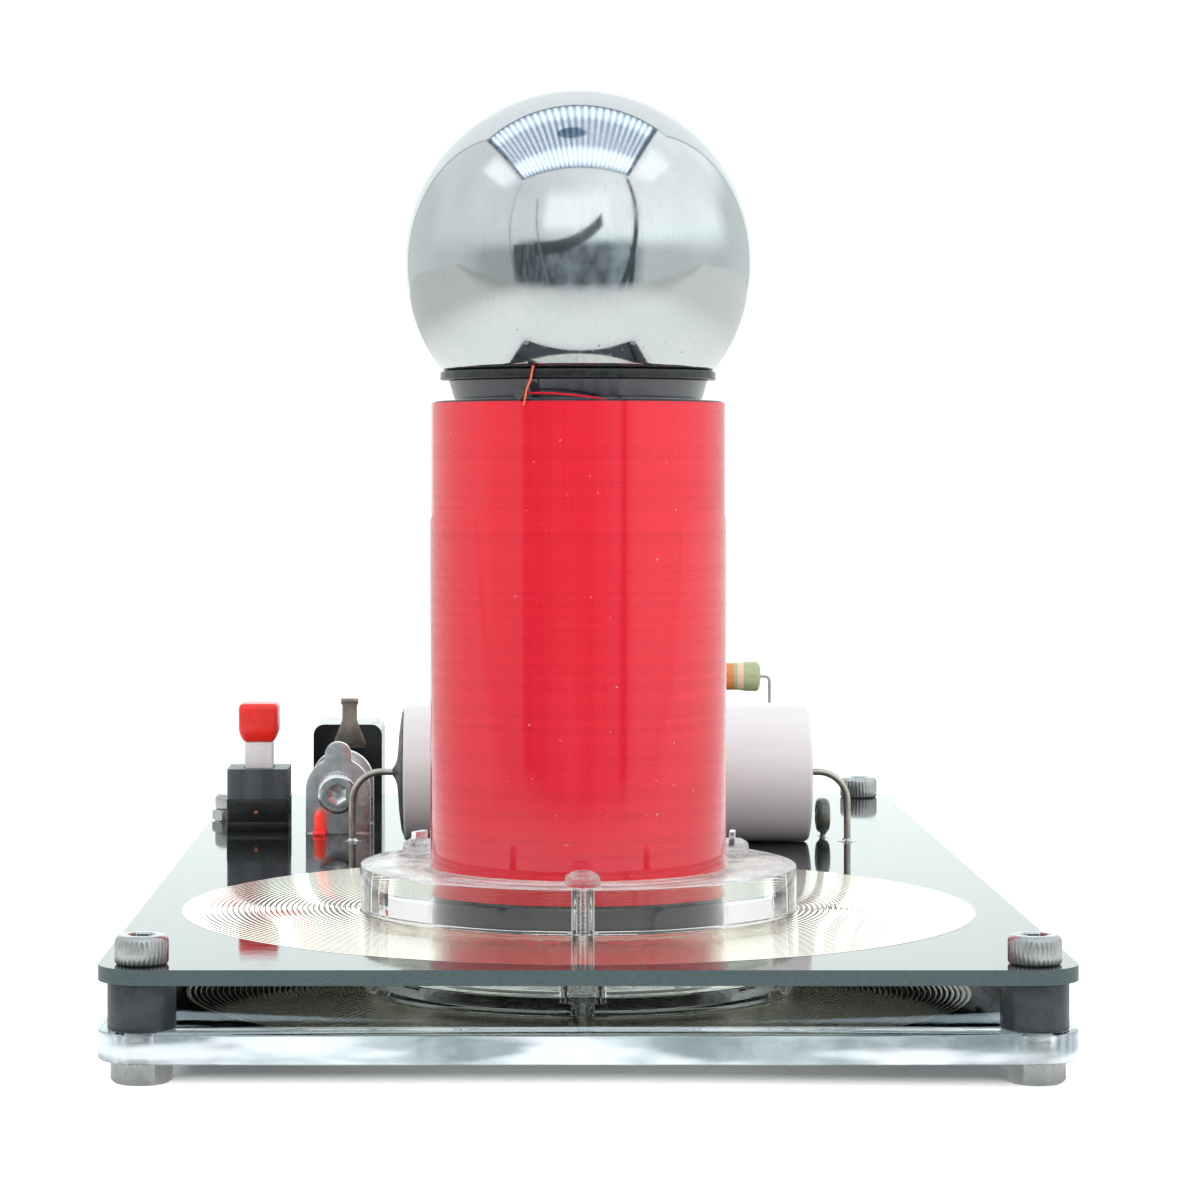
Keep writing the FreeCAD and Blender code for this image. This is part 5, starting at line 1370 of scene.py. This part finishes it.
# ------------------------------------------------------------------ pads and solder joints on the board
def joint(bm, x, y, lead, pad, top=True, tall=0.9):
    """A pad on each face and a solder fillet below, with a flatter one above where top is true."""
    for h0, h1 in ((TOP, TOP + 0.05), (LOW, LOW - 0.05)):
        lo, hi = sorted((h0, h1))
        polar(bm, ring_profile(lead * 0.9, pad, lo - 0.001, hi, 0.015, 1), (x, y, 0), n=28, close=True)
    rows = [(pad * 0.94, LOW - 0.05), (pad * 0.66, LOW - 0.05 - tall * 0.16), (lead + (pad - lead) * 0.3, LOW - 0.05 - tall * 0.45),
            (lead + 0.06, LOW - 0.05 - tall * 0.8), (lead * 0.7, LOW - 0.05 - tall), (0, LOW - 0.06 - tall)]
    polar(bm, rows, (x, y, 0), n=28)
    if top:
        rows = [(pad * 0.9, TOP + 0.05), (pad * 0.6, TOP + 0.14), (lead + 0.05, TOP + 0.34), (lead - 0.03, TOP + 0.40)]
        polar(bm, rows, (x, y, 0), n=28)


bm = bmesh.new()
JOINTS = [(-28.8, 25.7, .5, 1.25, True), (37.7, 25.7, .5, 1.25, True), (-34.1, 33.0, .2, .42, False), (-33.1, 33.0, .2, .42, False),
          (34.95, 30.3, .25, .62, False), (34.95, 32.7, .25, .62, False),
          (14.2, 45.0, .3, .8, True), (28.8, 45.0, .3, .8, True), (-21.0, 50, .3, .8, True), (-11.0, 50, .3, .8, True),
          (19.0, 74, .3, .8, True), (29.0, 74, .3, .8, True), (2.3, 78, .4, .95, True), (13.7, 78, .4, .95, True),
          (28.75, 62, .3, .75, False), (32.25, 62, .3, .75, False)]
JOINTS += [(SX + px, SY + py, .35, .75, False) for px in (-2.5, 0, 2.5) for py in (-2.5, 2.5)]
JOINTS += [(TX + px, TY + py, .35, .8, False) for px in (-7.5, -2.5, 2.5, 7.5) for py in (-5.9, 5.9)]
JOINTS += [(QX + px, QY, .42, .85, True) for px in (-2.54, 0, 2.54)]
JOINTS += [(GX + lx, GY + dy, .55, 1.2, False) for lx in (-3.3, 3.3) for dy in (0.6, 14.0)]
JOINTS += [(QX - 5.2, QY + 4.21, .7, 1.3, False), (QX + 5.2, QY + 4.21, .7, 1.3, False)]
JOINTS += [(-31.6, iy + 2.5, .45, 1.2, False), (-31.6, iy + 8.5, .45, 1.2, False), (-35.6, iy + 5.5, .45, 1.2, False)]
for j in JOINTS:
    joint(bm, *j[:4], top=j[4])
piece("solder_joints", bm, "solder", weld=False)

# plated pad under the ground terminal
bm = bmesh.new()
polar(bm, ring_profile(1.65, 3.2, TOP - 0.001, TOP + 0.019, 0.008, 1), (PX, PY, 0), n=48, close=True)
piece("plated_pad", bm, "gold_track")

# ------------------------------------------------------------------ finishes of the CAD nodes that stay
KEEP = {
    "circuit_board": "board_black", "secondary_ground_lead": "red_wire", "tank_capacitor_leads": "tinned_wire",
    "switch_pins": "tinned_wire", "disc_capacitor_leads": "tinned_wire", "power_inlet_housing": "inlet_black", "power_inlet_pin": "bracket_steel",
    "indicator_led_leads": "tinned_wire", "resistor_leads": "tinned_wire",
    "hv_diode_leads": "tinned_wire", "transformer_pins": "tinned_wire", "transistor_legs": "tinned_wire",
    "smoothing_capacitor_leads": "tinned_wire", "secondary_top_lead": "red_wire",
}
for name, mat in KEEP.items():
    me = NODE[name].data
    me.materials.clear()
    me.materials.append(MATS[mat])
left = [n for n, o in NODE.items() if not o.hide_render and n not in KEEP]
if left:
    raise RuntimeError("no finish for " + ", ".join(left))

# clear pieces cast no hard shadow
for name in ("coil_ring_clear", "lower_ring_clear", "ring_screws_clear", "ring_nuts_clear"):
    bpy.data.objects[name].visible_shadow = False

# ------------------------------------------------------------------ floor and light
bm = bmesh.new()
bmesh.ops.create_grid(bm, x_segments=8, y_segments=8, size=3.0)
me = bpy.data.meshes.new("floor")
bm.to_mesh(me)
bm.free()
floor = bpy.data.objects.new("floor", me)
scene.collection.objects.link(floor)
mat, g, p, co, out = shader("floor_painted_shade_and_glow")
g.put(p.inputs["Base Color"], g.mix(g.noise(co, 30, 3), (0.895, 0.90, 0.90), (0.91, 0.915, 0.915)))
p.inputs["Roughness"].default_value = 0.8
p.inputs["Specular IOR Level"].default_value = 0.0
# the floor glows: a painted pool of light, strongest just outside the object and weaker far off, and nearly off under
# the object, a painted contact shadow whose soft edge reaches further on the right
p.inputs["Emission Color"].default_value = (1, 1, 1, 1)
x, y, z = g.xyz(co)
away = g.m("MAXIMUM", g.add(g.m("ABSOLUTE", x), -0.05), g.add(g.m("ABSOLUTE", y), -0.09))
rim = g.add(away, g.step(x, 0.0, 0.05, 0.0, -0.0025))
g.put(p.inputs["Emission Strength"], g.mul(g.step(rim, -0.010, -0.001, 0.02, 0.75), g.step(away, 0.004, 0.05, 1.0, 0.35)))
# as reflections see it: the lit table top, a glowing sheet that is dimmer to the sides and towards the front, with a
# painted shadow under and just around the object, and that ends in front of the object
lit = g.add(g.add(g.step(x, -0.10, -0.27, 0, -0.42), g.step(x, 0.10, 0.27, 0, -0.26)), g.add(g.step(y, -0.13, -0.25, 0, -0.24), 1.12))
lit = g.mul(lit, g.step(away, -0.012, 0.018, 0.35, 1.0))
table = g.node("ShaderNodeEmission")
g.put(table.inputs["Color"], g.mix(g.noise(co, 12, 2), (0.93, 0.98, 0.965), (0.97, 1.0, 0.99)))
g.put(table.inputs["Strength"], lit)
gone = g.node("ShaderNodeBsdfTransparent")
edge = g.step(g.add(y, g.mul(g.add(g.noise(co, 14, 3), -0.5), 0.05)), -0.215, -0.335)
seen = g.node("ShaderNodeMixShader")
g.put(seen.inputs[0], edge)
mat.node_tree.links.new(table.outputs[0], seen.inputs[1])
mat.node_tree.links.new(gone.outputs[0], seen.inputs[2])
path = g.node("ShaderNodeLightPath")
# rays through the clear pieces see a painted glow on the floor under the object, where its shadow falls, in patches and
# brighter towards its outline
below = g.node("ShaderNodeEmission")
patchy = g.noise(g.scaled(co, (1, 0.5, 1)), 38, 3, 0.55)
near = g.step(g.add(away, g.mul(g.add(patchy, -0.5), 0.016)), -0.030, 0.002)
g.put(below.inputs["Color"], g.mix(near, (0.80, 0.88, 0.82), (0.80, 0.93, 1.0)))
g.put(below.inputs["Strength"], g.mixf(near, g.lin(patchy, 0.3, 0.7, 0.7, 1.1), g.lin(patchy, 0.3, 0.7, 1.1, 1.5)))
through = g.node("ShaderNodeMixShader")
g.put(through.inputs[0], g.mul(path.outputs["Is Transmission Ray"], g.step(away, 0.012, 0.006)))
mat.node_tree.links.new(p.outputs[0], through.inputs[1])
mat.node_tree.links.new(below.outputs[0], through.inputs[2])
pick = g.node("ShaderNodeMixShader")
g.put(pick.inputs[0], g.mul(path.outputs["Is Glossy Ray"], g.add(1.0, g.mul(path.outputs["Is Transmission Ray"], -1.0))))
mat.node_tree.links.new(through.outputs[0], pick.inputs[1])
mat.node_tree.links.new(seen.outputs[0], pick.inputs[2])
mat.node_tree.links.new(pick.outputs[0], out.inputs[0])
me.materials.append(mat)


def build_world():
    """Plain white light, and for reflections a light tent: backdrop behind, walls, a ribbed light panel above, and its
    open front with the darker room in it."""
    w = bpy.data.worlds.new("light_tent")
    scene.world = w
    w.use_nodes = True
    nt = w.node_tree
    nt.nodes.clear()
    g = G(nt)
    co = nt.nodes.new("ShaderNodeTexCoord").outputs["Generated"]
    x, y, z = g.xyz(co)
    # walls: dimmer near the table, brighter above, most of all on the right
    tone = g.lin(g.noise(co, 1.8, 2), 0.3, 0.7, 0.93, 1.07)
    side = g.step(x, -0.6, 0.6, 0.92, 1.22)
    val = g.mul(tone, g.mixf(g.step(z, 0.02, 0.28), 0.73, side))
    val = g.mixf(g.mul(g.step(y, 0.25, 0.55), g.step(z, 0.5, 0.3)), val, 0.80)
    col = g.mix(g.step(z, 0.1, 0.7), (0.90, 1.0, 0.985), (0.95, 1.0, 1.02))
    # backdrop behind the object
    bx, bz = g.m("DIVIDE", x, y), g.m("DIVIDE", z, y)
    ahead = g.step(y, 0.02, 0.06)
    wide = g.add(g.m("ABSOLUTE", bx), g.mul(g.m("ABSOLUTE", bz), -0.4))
    back = g.mul(g.mul(g.step(wide, 0.50, 0.46), g.step(bz, 1.66, 1.62)), ahead)
    rim = g.mul(g.mul(g.step(wide, 0.53, 0.51), g.step(bz, 1.72, 1.69)), ahead)
    val = g.mixf(rim, val, 0.55)
    val = g.mixf(back, val, g.mixf(g.step(bz, 0.30, 0.75), g.step(g.m("ABSOLUTE", bx), 0.10, 0.42, 1.7, 1.15), 1.10))
    # the open front: the room, and what stands there
    ang = g.m("MULTIPLY", g.m("ARCTAN2", x, g.mul(y, -1.0)), 180 / math.pi)
    wave = g.add(g.noise(g.scaled(co, (5, 5, 9)), 1.0, 3), -0.5)
    az = g.add(ang, g.mul(wave, 6.0))

    def between(a, b, soft):
        return g.inside(az, a, b, soft)
    front = g.step(y, 0.0, -0.12)
    soft_top = g.add(z, g.mul(wave, 0.10))
    haze = g.mul(g.mul(between(-74, 72, 12), g.step(soft_top, 0.19, 0.03)), front)
    val = g.mixf(haze, val, g.step(az, 36, 44, 0.50, 0.72))
    room = g.mul(g.mul(g.mul(g.step(az, -43, -39), g.step(az, 44, 30)), g.step(soft_top, 0.24, 0.08)), front)
    deep = g.add(g.lin(g.noise(g.scaled(co, (7, 7, 4)), 1.0, 3, 0.6), 0.3, 0.7, 0.10, 0.36), g.step(az, 10, 30, 0.0, 0.16))
    val = g.mixf(room, val, deep)
    post = g.mul(g.mul(g.inside(ang, -44, -25, 1.5), g.inside(z, -0.42, 0.135, 0.015)), front)
    val = g.mixf(g.mul(post, 0.9), val, g.lin(g.noise(g.scaled(co, (30, 30, 3)), 1.0, 2), 0.3, 0.7, 0.05, 0.22))
    # a dark shape that leans up to the right
    lean = g.add(z, g.mul(g.m("POWER", g.m("MAXIMUM", g.lin(ang, -26, 15, 0.0, 1.0), 0.0), 2.2), -0.31))
    arm = g.mul(g.mul(g.inside(ang, -30, 15.5, 1.2), g.inside(lean, 0.02, 0.165, 0.018)), front)
    val = g.mixf(g.mul(arm, 0.92), val, 0.09)
    col = g.mix(g.m("MAXIMUM", room, g.m("MAXIMUM", post, arm)), col, (0.80, 0.98, 1.08))
    upright = g.mul(g.mul(g.inside(ang, 32.5, 36.0, 0.8), g.inside(z, -0.40, 0.12, 0.02)), front)
    val = g.mixf(g.mul(upright, 0.9), val, 0.05)
    # bright curtain above the opening, with its seams
    slope = g.m("DIVIDE", x, g.mul(y, -1.0))
    up_front = g.step(y, -0.2, -0.3)
    glow = g.mul(g.inside(slope, -0.46, 0.40, 0.08), g.inside(z, 0.30, 0.66, 0.09))
    val = g.mixf(g.mul(glow, g.mul(up_front, g.add(1.0, g.mul(arm, -1.0)))), val, 1.38)
    for k, lo, hi, top, dark, amount in ((-0.38, 0.62, 0.71, 0.78, 0.10, 1.0), (0.27, -0.478, -0.452, 0.62, 0.30, 0.8),
                                         (0.34, -1.02, -0.985, 0.74, 0.30, 0.7)):
        line = g.mul(g.inside(g.add(slope, g.mul(z, k)), lo, hi, 0.008), g.mul(up_front, g.step(z, top, top - 0.04)))
        val = g.mixf(g.mul(line, amount), val, dark)
    # light panel above
    px, py = g.m("DIVIDE", x, z), g.m("DIVIDE", y, z)
    up = g.step(z, 0.05, 0.1)
    panel = g.mul(g.mul(g.inside(px, -0.68, 0.56, 0.008), g.inside(py, -0.55, 0.57, 0.01)), up)
    edge = g.mul(g.mul(g.inside(px, -0.72, 0.60, 0.008), g.inside(py, -0.57, 0.60, 0.008)), up)
    val = g.mixf(edge, val, 0.20)
    col = g.mix(edge, col, (0.7, 0.9, 1.15))
    rib = g.add(g.mul(g.m("SINE", g.mul(px, PI2 * 21)), 0.5), 0.5)
    rows = g.add(g.mul(g.inside(py, -0.50, -0.24, 0.06), 0.9), g.mul(g.inside(py, 0.28, 0.50, 0.08), 0.7))
    lamp = g.add(g.lin(rib, 0, 1, 0.50, 1.35), rows)
    val = g.mixf(panel, val, lamp)
    col = g.mix(panel, col, g.mix(rib, (0.55, 0.82, 1.1), (0.97, 1.0, 1.05)))
    hx, hy = g.m("DIVIDE", g.add(px, 0.05), 0.115), g.m("DIVIDE", py, 0.09)
    hole = g.step(g.add(g.mul(hx, hx), g.mul(hy, hy)), 1.1, 0.9)
    hole = g.mul(g.mul(hole, panel), g.lin(rib, 0, 1, 1.0, 0.7))
    val = g.mixf(hole, val, 0.17)
    col = g.mix(hole, col, (0.45, 0.85, 1.25))
    # bright patches beside the panel
    patch = g.mul(g.m("MAXIMUM", g.inside(px, -1.05, -0.76, 0.05), g.inside(px, 0.64, 0.95, 0.05)), g.mul(g.inside(py, -0.5, 0.1, 0.15), up))
    val = g.mixf(g.mul(patch, 0.7), val, 1.6)
    sc = g.node("ShaderNodeVectorMath", operation="SCALE")
    g.put(sc.inputs[0], col)
    g.put(sc.inputs["Scale"], val)
    bg = g.node("ShaderNodeBackground")
    g.put(bg.inputs[0], sc.outputs[0])
    bg.inputs[1].default_value = 1.0
    plain = g.node("ShaderNodeBackground")
    plain.inputs[0].default_value = (1.0, 1.0, 1.0, 1)
    path = g.node("ShaderNodeLightPath")
    g.put(plain.inputs[1], g.mixf(path.outputs["Is Camera Ray"], g.step(z, -0.3, 0.9, 0.93, 0.98), 1.15))
    mixs = g.node("ShaderNodeMixShader")
    g.put(mixs.inputs[0], g.mul(path.outputs["Is Glossy Ray"], g.add(1.0, g.mul(path.outputs["Is Transmission Ray"], -1.0))))
    nt.links.new(plain.outputs[0], mixs.inputs[1])
    nt.links.new(bg.outputs[0], mixs.inputs[2])
    out = nt.nodes.new("ShaderNodeOutputWorld")
    nt.links.new(mixs.outputs[0], out.inputs[0])


build_world()


def area(name, loc, aim, size, power):
    d = bpy.data.lights.new(name, "AREA")
    d.shape = "SQUARE"
    d.size = size
    d.energy = power
    o = bpy.data.objects.new(name, d)
    o.location = loc
    o.rotation_euler = (Vector(aim) - Vector(loc)).to_track_quat("-Z", "Y").to_euler()
    o.visible_glossy = False
    o.visible_transmission = False
    scene.collection.objects.link(o)


area("overhead_softbox", (0.05, 0.05, 0.75), (0, 0, 0.03), 0.7, 1.2)
area("front_softbox", (0.03, -0.75, 0.30), (0, -0.04, 0.05), 0.4, 0.9)
